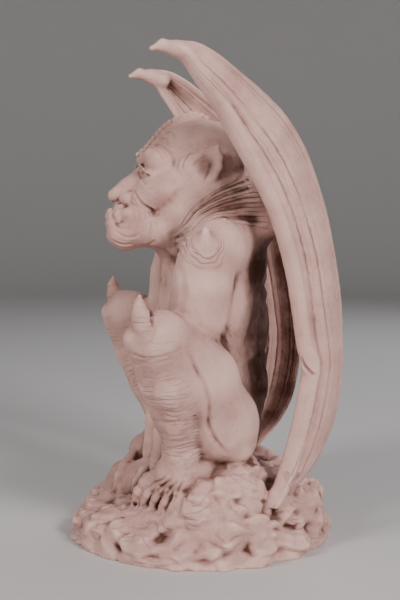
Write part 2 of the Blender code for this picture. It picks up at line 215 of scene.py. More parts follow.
class Clay:
    """A block of voxels that holds how far each point lies from the skin of a form."""

    def __init__(self, low: Place, high: Place, cell: float) -> None:
        """Makes an empty block.

        Args:
            low: The lowest corner of the block.
            high: The highest corner of the block.
            cell: The width of a voxel.
        """
        self.low = np.array(low, dtype=float)
        self.cell = cell
        counts = np.ceil((np.array(high, dtype=float) - self.low) / cell).astype(int) + 1
        self.axes = [(self.low[axis] + cell * np.arange(counts[axis])).astype(np.float32)
                     for axis in range(3)]
        self.field = np.full(counts, FAR, dtype=np.float32)

    def window(self, low: np.ndarray, high: np.ndarray) -> tuple[tuple[slice, ...], list[np.ndarray]]:
        """Finds the voxels in a box.

        Args:
            low: The lowest corner of the box.
            high: The highest corner of the box.

        Returns:
            The slices of the block, and the voxels' places along each axis.
        """
        slices = []
        places = []
        for axis in range(3):
            count = self.field.shape[axis]
            first = int(np.clip((low[axis] - self.low[axis]) // self.cell, 0, count - 1))
            last = int(np.clip((high[axis] - self.low[axis]) // self.cell + 2, first + 1, count))
            slices.append(slice(first, last))
            shape = [1, 1, 1]
            shape[axis] = last - first
            places.append(self.axes[axis][first:last].reshape(shape))
        return tuple(slices), places

    def join(self, slices: tuple[slice, ...], distance: np.ndarray, blend: float) -> None:
        """Adds a form, flowing into what is there over the width of blend."""
        part = self.field[slices]
        overlap = np.clip(blend - np.abs(part - distance), 0.0, None)
        part[...] = np.minimum(part, distance) - overlap * overlap / (4.0 * blend)

    def cut(self, slices: tuple[slice, ...], distance: np.ndarray, blend: float) -> None:
        """Takes a form away, rounding the edge over the width of blend."""
        part = self.field[slices]
        overlap = np.clip(blend - np.abs(part + distance), 0.0, None)
        part[...] = np.maximum(part, -distance) + overlap * overlap / (4.0 * blend)

    def bone(self, near: Ball, far: Ball, blend: float, carve: bool = False) -> None:
        """Adds or carves a tapered round length between two balls.

        Args:
            near: The ball at one end.
            far: The ball at the other end.
            blend: How softly it flows into what is there.
            carve: True takes the length away.
        """
        start = np.array(near[:3])
        end = np.array(far[:3])
        reach = max(near[3], far[3]) + blend + FAR * (0.0 if carve else 0.7)
        slices, (x, y, z) = self.window(np.minimum(start, end) - reach, np.maximum(start, end) + reach)
        line = end - start
        length = max(float(line @ line), 1e-9)
        share = ((x - start[0]) * line[0] + (y - start[1]) * line[1] + (z - start[2]) * line[2]) / length
        share = np.clip(share, 0.0, 1.0)
        gap = (x - start[0] - share * line[0]) ** 2 + (y - start[1] - share * line[1]) ** 2
        gap = np.sqrt(gap + (z - start[2] - share * line[2]) ** 2) - (near[3] + share * (far[3] - near[3]))
        if carve:
            self.cut(slices, gap, blend)
        else:
            self.join(slices, gap, blend)

    def limb(self, balls: list[Ball], blend: float, carve: bool = False) -> None:
        """Adds or carves a length through several balls."""
        for near, far in zip(balls, balls[1:]):
            self.bone(near, far, blend, carve)

    def egg(self, middle: Place, radii: Place, blend: float, turn: Place = (0, 0, 0),
            carve: bool = False) -> None:
        """Adds or carves a stretched ball.

        Args:
            middle: Its centre.
            radii: Its half widths.
            blend: How softly it flows into what is there.
            turn: How far it is turned about X, Y and Z, in degrees.
            carve: True takes the ball away.
        """
        reach = max(radii) + blend + FAR * (0.0 if carve else 0.5)
        centre = np.array(middle)
        slices, (x, y, z) = self.window(centre - reach, centre + reach)
        angles = [math.radians(angle) for angle in turn]
        basis = np.array(bpy_rotation(angles)).T
        away = [x - middle[0], y - middle[1], z - middle[2]]
        local = [sum(basis[row][column] * away[column] for column in range(3)) for row in range(3)]
        unit = np.sqrt(sum((local[axis] / radii[axis]) ** 2 for axis in range(3)))
        steep = np.sqrt(sum((local[axis] / radii[axis] ** 2) ** 2 for axis in range(3)))
        gap = unit * (unit - 1.0) / np.maximum(steep, 1e-6)
        if carve:
            self.cut(slices, gap, blend)
        else:
            self.join(slices, gap, blend)

    def add_mesh(self, points: np.ndarray, faces: np.ndarray, blend: float) -> None:
        """Adds a closed mesh.

        Args:
            points: Its corners.
            faces: Its triangles or quads.
            blend: How softly it flows into what is there.
        """
        band = 6.0
        local = ((points - self.low) / self.cell).astype(np.float32)
        key = "quads" if faces.shape[1] == 4 else "triangles"
        grid = openvdb.FloatGrid.createLevelSetFromPolygons(
            local, transform=openvdb.createLinearTransform(1.0), halfWidth=band,
            **{key: faces.astype(np.uint32)}
        )
        margin = band * self.cell
        slices, _ = self.window(points.min(axis=0) - margin, points.max(axis=0) + margin)
        shape = [part.stop - part.start for part in slices]
        distance = np.empty(shape, dtype=np.float32)
        grid.copyToArray(distance, ijk=tuple(part.start for part in slices))
        distance *= self.cell
        distance[distance >= margin * 0.98] = FAR
        self.join(slices, distance, blend)

    def merge(self, other: Clay, blend: float) -> None:
        """Adds another block's form to this one."""
        everything = tuple(slice(0, count) for count in self.field.shape)
        self.join(everything, other.field, blend)

    def read(self, points: np.ndarray) -> np.ndarray:
        """Reads the distance at some points, evened out between voxels."""
        scaled = (points - self.low) / self.cell
        cell = np.floor(scaled).astype(int)
        cell = np.clip(cell, 0, np.array(self.field.shape) - 2)
        rest = np.clip(scaled - cell, 0.0, 1.0)
        total = np.zeros(len(points))
        for corner in range(8):
            step = np.array([corner & 1, (corner >> 1) & 1, (corner >> 2) & 1])
            weight = np.prod(np.where(step, rest, 1.0 - rest), axis=1)
            place = cell + step
            total += weight * self.field[place[:, 0], place[:, 1], place[:, 2]]
        return total

    def leave(self, origin: Place, toward: np.ndarray, lift: float) -> np.ndarray:
        """Finds where lines from inside the form come out of it.

        Args:
            origin: A place inside the form.
            toward: The directions of the lines.
            lift: How far above the skin the found places are put.

        Returns:
            One place for each line.
        """
        steps = np.arange(0.0, 90.0, 0.4)
        found = []
        for line in toward:
            line = line / np.linalg.norm(line)
            outside = self.read(np.array(origin) + steps[:, None] * line) > 0.0
            found.append(np.array(origin) + line * (steps[int(outside.argmax())] + lift))
        return np.array(found)

    def crowding(self, points: np.ndarray) -> np.ndarray:
        """Tells how much stone stands round each point, within about 30 steps.

        Args:
            points: Where it is read.

        Returns:
            The share of the surroundings that is stone.
        """
        pool = max(1, int(round(5.0 / self.cell)))
        counts = [count // pool for count in self.field.shape]
        solid = (self.field[: counts[0] * pool, : counts[1] * pool,
                            : counts[2] * pool] < 0).astype(np.float32)
        solid = solid.reshape(counts[0], pool, counts[1], pool, counts[2], pool).mean(axis=(1, 3, 5))
        reach = int(round(22.0 / (pool * self.cell)))
        solid = np.pad(solid, 2 * reach, mode="constant")
        for _ in range(2):
            for axis in range(3):
                total = np.cumsum(solid, axis=axis)
                ahead = np.roll(total, -reach, axis=axis)
                behind = np.roll(total, reach + 1, axis=axis)
                solid = (ahead - behind) / (2 * reach + 1)
        place = np.floor((points - self.low) / (pool * self.cell)).astype(int) + 2 * reach
        place = np.clip(place, reach + 1, np.array(solid.shape) - reach - 2)
        return solid[place[:, 0], place[:, 1], place[:, 2]]

    def skin(self) -> tuple[np.ndarray, np.ndarray]:
        """Meshes the surface of the form.

        Returns:
            The corners and the quads of its largest shell, wound outwards.
        """
        grid = openvdb.FloatGrid(FAR)
        grid.copyFromArray(self.field)
        points, _, quads = grid.convertToPolygons(isovalue=0.0, adaptivity=0.0)
        quads = quads.astype(np.int64)
        label = np.arange(len(points))
        for _ in range(200):
            lowest = label[quads].min(axis=1)
            fresh = label.copy()
            for corner in range(4):
                np.minimum.at(fresh, quads[:, corner], lowest)
            fresh = fresh[fresh]
            if (fresh == label).all():
                break
            label = fresh
        shells, sizes = np.unique(label, return_counts=True)
        keep = label[quads[:, 0]] == shells[sizes.argmax()]
        quads = quads[keep]
        used, renamed = np.unique(quads, return_inverse=True)
        points = points[used] * self.cell + self.low
        return points, renamed.reshape(quads.shape)


def bpy_rotation(angles: list[float]) -> list[list[float]]:
    """Returns the rows of the matrix that turns by three angles about X, Y and Z."""
    return [list(row) for row in Euler(angles).to_matrix()]


@dataclass(frozen=True)
class Socket:
    """One named input of a Geometry Nodes tree."""

    name: str
    kind: str
    value: object


class Tree:
    """A Geometry Nodes tree that is grown on a path and handed back as a plain mesh."""

    def __init__(self, name: str, sockets: list[Socket]) -> None:
        """Makes the tree with its geometry sockets and its named inputs."""
        self.group = bpy.data.node_groups.new(name, "GeometryNodeTree")
        self.group.interface.new_socket("Geometry", in_out="INPUT", socket_type="NodeSocketGeometry")
        for socket in sockets:
            made = self.group.interface.new_socket(socket.name, in_out="INPUT", socket_type=socket.kind)
            if socket.value is not None:
                made.default_value = socket.value
        self.group.interface.new_socket("Geometry", in_out="OUTPUT", socket_type="NodeSocketGeometry")
        self.source = self.node("NodeGroupInput")
        self.sink = self.node("NodeGroupOutput")

    def node(self, kind: str, **values: object) -> bpy.types.Node:
        """Adds a node and sets its properties."""
        made = self.group.nodes.new(kind)
        for key, value in values.items():
            setattr(made, key, value)
        return made

    def link(self, start: bpy.types.NodeSocket, end: bpy.types.NodeSocket) -> None:
        """Joins an output to an input."""
        self.group.links.new(start, end)

    def finish(self, geometry: bpy.types.NodeSocket) -> None:
        """Ends the tree in Realize Instances and Set Material."""
        real = self.node("GeometryNodeRealizeInstances")
        paint = self.node("GeometryNodeSetMaterial")
        self.link(geometry, real.inputs["Geometry"])
        self.link(real.outputs[0], paint.inputs["Geometry"])
        self.link(self.source.outputs["Material"], paint.inputs["Material"])
        self.link(paint.outputs[0], self.sink.inputs["Geometry"])

    def grow(self, path: np.ndarray, inputs: dict[str, object]) -> tuple[np.ndarray, np.ndarray]:
        """Runs the tree on a path.

        Args:
            path: The points of the path.
            inputs: The values of the named inputs.

        Returns:
            The corners and the triangles of the mesh that it makes.
        """
        line = bpy.data.meshes.new("path")
        line.from_pydata([tuple(point) for point in path], [(i, i + 1) for i in range(len(path) - 1)], [])
        holder = bpy.data.objects.new("path", line)
        bpy.context.collection.objects.link(holder)
        growth = holder.modifiers.new("growth", "NODES")
        growth.node_group = self.group
        for item in self.group.interface.items_tree:
            if item.in_out == "INPUT" and item.name in inputs:
                growth[item.identifier] = inputs[item.name]
        graph = bpy.context.evaluated_depsgraph_get()
        made = bpy.data.meshes.new_from_object(holder.evaluated_get(graph))
        holder.modifiers.remove(growth)
        bpy.data.objects.remove(holder)
        bpy.data.meshes.remove(line)
        made.calc_loop_triangles()
        points = np.empty(len(made.vertices) * 3)
        made.vertices.foreach_get("co", points)
        faces = np.empty(len(made.loop_triangles) * 3, dtype=np.int64)
        made.loop_triangles.foreach_get("vertices", faces)
        bpy.data.meshes.remove(made)
        return points.reshape(-1, 3), faces.reshape(-1, 3)


def knob_tree() -> Tree:
    """Builds the tree that sets round knobs along a path, each a little different."""
    tree = Tree("knob row", [
        Socket("Count", "NodeSocketInt", 8),
        Socket("Knob Radius", "NodeSocketFloat", 4.0),
        Socket("Least Scale", "NodeSocketFloat", 0.8),
        Socket("Most Scale", "NodeSocketFloat", 1.15),
        Socket("Seed", "NodeSocketInt", 1),
        Socket("Material", "NodeSocketMaterial", None),
    ])
    curve = tree.node("GeometryNodeMeshToCurve")
    spaced = tree.node("GeometryNodeResampleCurve")
    ball = tree.node("GeometryNodeMeshIcoSphere")
    ball.inputs["Subdivisions"].default_value = 3
    scale = tree.node("FunctionNodeRandomValue", data_type="FLOAT")
    put = tree.node("GeometryNodeInstanceOnPoints")
    tree.link(tree.source.outputs["Geometry"], curve.inputs["Mesh"])
    tree.link(curve.outputs["Curve"], spaced.inputs["Curve"])
    tree.link(tree.source.outputs["Count"], spaced.inputs["Count"])
    tree.link(tree.source.outputs["Knob Radius"], ball.inputs["Radius"])
    tree.link(tree.source.outputs["Least Scale"], scale.inputs[2])
    tree.link(tree.source.outputs["Most Scale"], scale.inputs[3])
    tree.link(tree.source.outputs["Seed"], scale.inputs["Seed"])
    tree.link(spaced.outputs["Curve"], put.inputs["Points"])
    tree.link(ball.outputs["Mesh"], put.inputs["Instance"])
    tree.link(scale.outputs[1], put.inputs["Scale"])
    tree.finish(put.outputs["Instances"])
    return tree


def rib_tree() -> Tree:
    """Builds the tree that sweeps a tapered round rib along a path."""
    tree = Tree("tapered rib", [
        Socket("Start Radius", "NodeSocketFloat", 4.0),
        Socket("End Radius", "NodeSocketFloat", 2.0),
        Socket("Length Points", "NodeSocketInt", 90),
        Socket("Material", "NodeSocketMaterial", None),
    ])
    curve = tree.node("GeometryNodeMeshToCurve")
    spaced = tree.node("GeometryNodeResampleCurve")
    along = tree.node("GeometryNodeSplineParameter")
    taper = tree.node("ShaderNodeMapRange")
    width = tree.node("GeometryNodeSetCurveRadius")
    ring = tree.node("GeometryNodeCurvePrimitiveCircle")
    ring.inputs["Resolution"].default_value = 14
    ring.inputs["Radius"].default_value = 1.0
    sweep = tree.node("GeometryNodeCurveToMesh")
    sweep.inputs["Fill Caps"].default_value = True
    tree.link(tree.source.outputs["Geometry"], curve.inputs["Mesh"])
    tree.link(curve.outputs["Curve"], spaced.inputs["Curve"])
    tree.link(tree.source.outputs["Length Points"], spaced.inputs["Count"])
    tree.link(along.outputs["Factor"], taper.inputs["Value"])
    tree.link(tree.source.outputs["Start Radius"], taper.inputs["To Min"])
    tree.link(tree.source.outputs["End Radius"], taper.inputs["To Max"])
    tree.link(spaced.outputs["Curve"], width.inputs["Curve"])
    tree.link(taper.outputs["Result"], width.inputs["Radius"])
    tree.link(width.outputs["Curve"], sweep.inputs["Curve"])
    tree.link(ring.outputs["Curve"], sweep.inputs["Profile Curve"])
    tree.finish(sweep.outputs["Mesh"])
    return tree


def ledge_tree() -> Tree:
    """Builds the tree that lays turned blocks of stone on the points of a path."""
    tree = Tree("broken ledge", [
        Socket("Count", "NodeSocketInt", 24),
        Socket("Block Size", "NodeSocketVector", (14.0, 24.0, 10.0)),
        Socket("Turn", "NodeSocketFloat", 0.35),
        Socket("Seed", "NodeSocketInt", 1),
        Socket("Material", "NodeSocketMaterial", None),
    ])
    curve = tree.node("GeometryNodeMeshToCurve")
    spaced = tree.node("GeometryNodeResampleCurve")
    cube = tree.node("GeometryNodeMeshCube")
    place = tree.node("GeometryNodeInputPosition")
    flat = tree.node("ShaderNodeVectorMath", operation="MULTIPLY")
    flat.inputs[1].default_value = (1.0, 1.0, 0.0)
    face_out = tree.node("FunctionNodeAlignRotationToVector", axis="X")
    negative = tree.node("ShaderNodeMath", operation="MULTIPLY")
    negative.inputs[1].default_value = -1.0
    least = tree.node("ShaderNodeCombineXYZ")
    most = tree.node("ShaderNodeCombineXYZ")
    spin = tree.node("FunctionNodeRandomValue", data_type="FLOAT_VECTOR")
    to_turn = tree.node("FunctionNodeEulerToRotation")
    turned = tree.node("FunctionNodeRotateRotation", rotation_space="LOCAL")
    size = tree.node("FunctionNodeRandomValue", data_type="FLOAT_VECTOR")
    size.inputs["Min"].default_value = (0.7, 0.7, 0.65)
    size.inputs["Max"].default_value = (1.15, 1.25, 1.2)
    put = tree.node("GeometryNodeInstanceOnPoints")
    tree.link(tree.source.outputs["Geometry"], curve.inputs["Mesh"])
    tree.link(curve.outputs["Curve"], spaced.inputs["Curve"])
    tree.link(tree.source.outputs["Count"], spaced.inputs["Count"])
    tree.link(tree.source.outputs["Block Size"], cube.inputs["Size"])
    tree.link(place.outputs["Position"], flat.inputs[0])
    tree.link(flat.outputs["Vector"], face_out.inputs["Vector"])
    tree.link(tree.source.outputs["Turn"], negative.inputs[0])
    for axis in range(3):
        tree.link(negative.outputs[0], least.inputs[axis])
        tree.link(tree.source.outputs["Turn"], most.inputs[axis])
    tree.link(least.outputs[0], spin.inputs["Min"])
    tree.link(most.outputs[0], spin.inputs["Max"])
    tree.link(tree.source.outputs["Seed"], spin.inputs["Seed"])
    tree.link(spin.outputs[0], to_turn.inputs[0])
    tree.link(face_out.outputs["Rotation"], turned.inputs["Rotation"])
    tree.link(to_turn.outputs["Rotation"], turned.inputs["Rotate By"])
    tree.link(tree.source.outputs["Seed"], size.inputs["Seed"])
    tree.link(spaced.outputs["Curve"], put.inputs["Points"])
    tree.link(cube.outputs["Mesh"], put.inputs["Instance"])
    tree.link(turned.outputs["Rotation"], put.inputs["Rotation"])
    tree.link(size.outputs[0], put.inputs["Scale"])
    tree.finish(put.outputs["Instances"])
    return tree


def corner_normals(points: np.ndarray, faces: np.ndarray, across: np.ndarray) -> np.ndarray:
    """Adds up the directions of the faces at each corner.

    Args:
        points: The corners.
        faces: The numbers of each face's corners.
        across: The direction of each face.

    Returns:
        A direction of length 1 for each corner.
    """
    total = np.zeros_like(points)
    for index in range(faces.shape[1]):
        for axis in range(3):
            total[:, axis] += np.bincount(faces[:, index], across[:, axis], len(points))
    return total / np.maximum(np.linalg.norm(total, axis=1, keepdims=True), 1e-9)


@dataclass
class Stroke:
    """A line drawn on the stone from one direction.

    Attributes:
        points: Its points, (y, z) for a line drawn from the side and (x, z) from the front or back.
        width: Half the width of the groove.
        depth: The depth of a groove with raised lips, or minus the height of a ridge.
        facing: The direction that it is drawn from.
        start: How far from the middle plane it may first meet the stone.
        lip: How much of the depth is raised beside it.
    """

    points: list[Flat]
    width: float = 1.4
    depth: float = 1.0
    facing: Facing = Facing.SIDE
    start: float = 200.0
    lip: float = 0.35


@dataclass
class Rings:
    """Wrinkles that run round a limb.

    Attributes:
        near: The end of the limb that the places are counted from.
        far: The other end.
        reach: How far from the limb's line the skin is pressed.
        places: Where the wrinkles lie, as shares of the way.
        depth: Their depth.
        width: Half their width.
        bow: How far they stray.
        seed: Which way they stray.
    """

    near: Place
    far: Place
    reach: float
    places: list[float]
    depth: float = 0.8
    width: float = 1.5
    bow: float = 3.0
    seed: int = 3


class Carving:
    """The meshed skin of the stone, which is pressed and drawn on."""

    def __init__(self, points: np.ndarray, faces: np.ndarray) -> None:
        """Takes the corners and quads of the skin."""
        self.points = points
        self.faces = faces
        self.normals = self.face_out()
        self.holder = self.as_object("carving")

    def as_object(self, name: str) -> bpy.types.Object:
        """Makes an object of the skin, in steps."""
        mesh = bpy.data.meshes.new(name)
        mesh.vertices.add(len(self.points))
        mesh.vertices.foreach_set("co", self.points.astype(np.float32).ravel())
        sides = self.faces.shape[1]
        mesh.loops.add(self.faces.size)
        mesh.loops.foreach_set("vertex_index", self.faces.astype(np.int32).ravel())
        mesh.polygons.add(len(self.faces))
        mesh.polygons.foreach_set("loop_start", np.arange(0, self.faces.size, sides, dtype=np.int32))
        mesh.update(calc_edges=True)
        made = bpy.data.objects.new(name, mesh)
        bpy.context.collection.objects.link(made)
        return made

    def face_out(self) -> np.ndarray:
        """Returns the corners' normals, after turning the faces outwards if they aren't."""
        corner = self.points[self.faces]
        across = np.cross(corner[:, 2] - corner[:, 0], corner[:, 3] - corner[:, 1])
        if (across * (corner.mean(axis=1))).sum() < 0:
            self.faces = self.faces[:, ::-1].copy()
            across = -across
        return corner_normals(self.points, self.faces, across)

    def near(self, low: np.ndarray, high: np.ndarray) -> np.ndarray:
        """Returns the numbers of the corners in a box."""
        inside = np.all((self.points > low) & (self.points < high), axis=1)
        return np.flatnonzero(inside)

    def project(self, stroke: Stroke, side: int, shift: Place) -> np.ndarray | None:
        """Throws a stroke's points onto the skin.

        Args:
            stroke: The stroke.
            side: The side that it is drawn on.
            shift: How far it is moved first.

        Returns:
            The points on the skin, or None where the stroke misses it.
        """
        flat = spline([(a, b, 0.0) for a, b in stroke.points], max(3 * len(stroke.points), 6))
        found = []
        for first, second, _ in flat:
            if stroke.facing is Facing.SIDE:
                origin = Vector((side * THROW, first + shift[1], second + shift[2]))
                toward = Vector((-side, 0, 0))
            elif stroke.facing is Facing.FRONT:
                origin = Vector((side * first + shift[0], -THROW, second + shift[2]))
                toward = Vector((0, 1, 0))
            else:
                origin = Vector((side * first + shift[0], THROW, second + shift[2]))
                toward = Vector((0, -1, 0))
            place = self.enter(origin, toward, stroke.start)
            if place is not None:
                found.append(place)
        return np.array(found) if len(found) > 1 else None

    def enter(self, origin: Vector, toward: Vector, start: float) -> Vector | None:
        """Finds where a line first enters the stone.

        Args:
            origin: Where the line comes from.
            toward: Its direction.
            start: How far from the middle plane it may enter at most.

        Returns:
            The place, or None where the line misses the stone.
        """
        most_layers = 8
        just_past = 0.05
        for _ in range(most_layers):
            hit, place, normal, _ = self.holder.ray_cast(origin, toward)
            if not hit:
                return None
            if abs(place.x) < start and normal.dot(toward) < 0:
                return place
            origin = place + toward * just_past
        return None

    def draw(self, path: np.ndarray, width: float, depth: float, lip: float) -> None:
        """Presses a groove or raises a ridge along a path.

        Args:
            path: Points on the skin.
            width: Half the width of the groove.
            depth: Its depth, or minus the height of a ridge.
            lip: How much of the depth is raised beside it.
        """
        reach = width * 3.2
        chosen = self.near(path.min(axis=0) - reach, path.max(axis=0) + reach)
        if not len(chosen):
            return
        places = self.points[chosen]
        best = np.full(len(chosen), 1e9)
        along = np.zeros(len(chosen))
        lengths = np.linalg.norm(np.diff(path, axis=0), axis=1)
        marks = np.concatenate([[0.0], np.cumsum(lengths)])
        for index, length in enumerate(lengths):
            if length < 1e-6:
                continue
            line = (path[index + 1] - path[index]) / length
            run = np.clip((places - path[index]) @ line, 0.0, length)
            gap = np.linalg.norm(places - path[index] - run[:, None] * line, axis=1)
            closer = gap < best
            best[closer] = gap[closer]
            along[closer] = marks[index] + run[closer]
        share = along / max(marks[-1], 1e-6)
        fade = smooth_step(-0.02, 0.2, share) * smooth_step(-0.02, 0.2, 1.0 - share)
        push = -np.exp(-((best / width) ** 2)) + lip * np.exp(-(((best - 2.0 * width) / width) ** 2))
        self.points[chosen] += self.normals[chosen] * (push * fade * depth)[:, None]

    def stroke(self, stroke: Stroke, side: int = 1, shift: Place = (0, 0, 0)) -> None:
        """Draws one stroke on one side."""
        path = self.project(stroke, side, shift)
        if path is not None:
            self.draw(path, stroke.width, stroke.depth, stroke.lip)

    def both_sides(self, strokes: list[Stroke]) -> None:
        """Draws strokes on the left side and mirrored on the right."""
        for stroke in strokes:
            for side in SIDES:
                self.stroke(stroke, side)

    def wrinkle(self, rings: Rings, side: int = 1, shift: Place = (0, 0, 0)) -> None:
        """Presses wrinkles round a limb.

        Args:
            rings: The wrinkles.
            side: The side that the limb is on.
            shift: How far the limb is moved.
        """
        start = np.array([side * rings.near[0], rings.near[1], rings.near[2]]) + np.array(shift)
        end = np.array([side * rings.far[0], rings.far[1], rings.far[2]]) + np.array(shift)
        low = np.minimum(start, end) - rings.reach
        high = np.maximum(start, end) + rings.reach
        chosen = self.near(low, high)
        places = self.points[chosen]
        length = np.linalg.norm(end - start)
        line = (end - start) / length
        run = (places - start) @ line
        away = places - start - run[:, None] * line
        gap = np.linalg.norm(away, axis=1)
        held = (gap < rings.reach) & (run > -4) & (run < length + 4)
        wave = lattice_noise(places, 9.0, rings.seed) * rings.bow
        wave += lattice_noise(places, 22.0, rings.seed + 1) * rings.bow
        strength = 0.75 + 0.9 * lattice_noise(places, 11.0, rings.seed + 2)
        push = np.zeros(len(chosen))
        for place in rings.places:
            offset = run - place * length + wave
            push -= np.exp(-((offset / rings.width) ** 2))
            push += 0.35 * np.exp(-(((np.abs(offset) - 2.0 * rings.width) / rings.width) ** 2))
        fade = smooth_step(0.0, 6.0, rings.reach - gap) * held
        push *= fade * np.clip(strength, 0.0, 1.3) * rings.depth
        self.points[chosen] += self.normals[chosen] * push[:, None]


class Creases:
    """Fine lines for the finish: where each corner lies across them, and how deep they are.

    The place is a whole number on each line and grows evenly to the next, so that the finish
    can draw lines that are finer than the mesh.
    """

    def __init__(self, points: np.ndarray, normals: np.ndarray) -> None:
        """Starts with no lines on the given corners."""
        self.points = points
        self.normals = normals
        self.place = np.zeros(len(points))
        self.depth = np.zeros(len(points))

    def lay(self, chosen: np.ndarray, place: np.ndarray, depth: np.ndarray) -> None:
        """Puts lines on some corners where they are deeper than those already there.

        Args:
            chosen: The numbers of the corners.
            place: Where each lies across the lines.
            depth: How deep the lines are there, from 0 to 1.
        """
        deeper = depth > self.depth[chosen]
        self.place[chosen[deeper]] = place[deeper]
        self.depth[chosen[deeper]] = depth[deeper]

    def rings(self, near: Ball, far: Ball, side: int, shift: Place, gap: float, bow: float, most: float,
              seed: int) -> None:
        """Runs uneven broken lines round a limb.

        Args:
            near: The ball that holds one end of the lines.
            far: The ball that holds the other end.
            side: The side that the limb is on.
            shift: How far the limb is moved.
            gap: The distance between lines.
            bow: How far the lines stray.
            most: The depth of the deepest.
            seed: Which lines are drawn.
        """
        start, end = (np.array(ball[:3]) for ball in mirrored([near, far], side, shift))
        reach = max(near[3], far[3])
        inside = (self.points > np.minimum(start, end) - reach) & (self.points < np.maximum(start,
                                                                                            end) + reach)
        chosen = np.flatnonzero(inside.all(axis=1))
        points = self.points[chosen]
        length = np.linalg.norm(end - start)
        line = (end - start) / length
        run = (points - start) @ line
        away = np.linalg.norm(points - start - run[:, None] * line, axis=1)
        wave = lattice_noise(points, 7.0, seed) * 0.5 + lattice_noise(points, 17.0, seed + 1)
        depth = smooth_step(0.0, 5.0, run) * smooth_step(0.0, 5.0, length - run)
        depth *= 1.0 - smooth_step(reach * 0.85, reach, away)
        depth *= np.clip(0.45 + 1.5 * lattice_noise(points, 8.0, seed + 2), 0.0, 1.0) * most
        self.lay(chosen, (run + wave * bow) / gap, depth)

    def circles(self, middle: Flat, side: int, within: Flat, gap: float, most: float) -> None:
        """Runs rings round a place seen from the side, on what stands out there.

        Args:
            middle: The place, as (y, z).
            side: The side that it is on.
            within: The least and the greatest radius of the rings.
            gap: The distance between rings.
            most: The depth of the deepest.
        """
        least_out = 74.0
        outer_fade = 6.0
        points = self.points
        far = np.hypot(points[:, 1] - middle[0], points[:, 2] - middle[1])
        chosen = np.flatnonzero((far < within[1]) & (points[:, 0] * side > least_out))
        far = far[chosen] + lattice_noise(points[chosen], 9.0, 47) * 2.2
        depth = smooth_step(within[0] - 1.0, within[0] + 1.5, far)
        depth *= 1.0 - smooth_step(within[1] - outer_fade, within[1], far)
        depth *= 1.0 - smooth_step(-2.0, 7.0, points[chosen, 2] - middle[1])
        depth *= np.clip(0.8 + lattice_noise(points[chosen], 7.0, 48), 0.1, 1.0)
        self.lay(chosen, far / gap, depth * most)

    @staticmethod
    def sheet(points: np.ndarray, grid: np.ndarray) -> tuple[np.ndarray, ...]:
        """Finds where points lie on a sheet.

        Args:
            points: The places of some corners, as the sheet sees them.
            grid: Places on the sheet, by share along and then by share across it.

        Returns:
            The shares across and along the sheet, and the distance from it.
        """
        rows, columns = grid.shape[:2]
        flat = grid.reshape(-1, 3)
        tree = KDTree(len(flat))
        for index, place in enumerate(flat):
            tree.insert(place, index)
        tree.balance()
        nearest = np.array([tree.find(point)[1] for point in points], dtype=int)
        step = np.gradient(grid, axis=1).reshape(-1, 3)[nearest]
        offset = points - flat[nearest]
        run = (offset * step).sum(axis=1) / np.maximum((step * step).sum(axis=1), 1e-9)
        across = (nearest % columns + np.clip(run, -1.5, 1.5)) / (columns - 1)
        along = (nearest // columns) / (rows - 1)
        return across, along, np.linalg.norm(offset, axis=1)


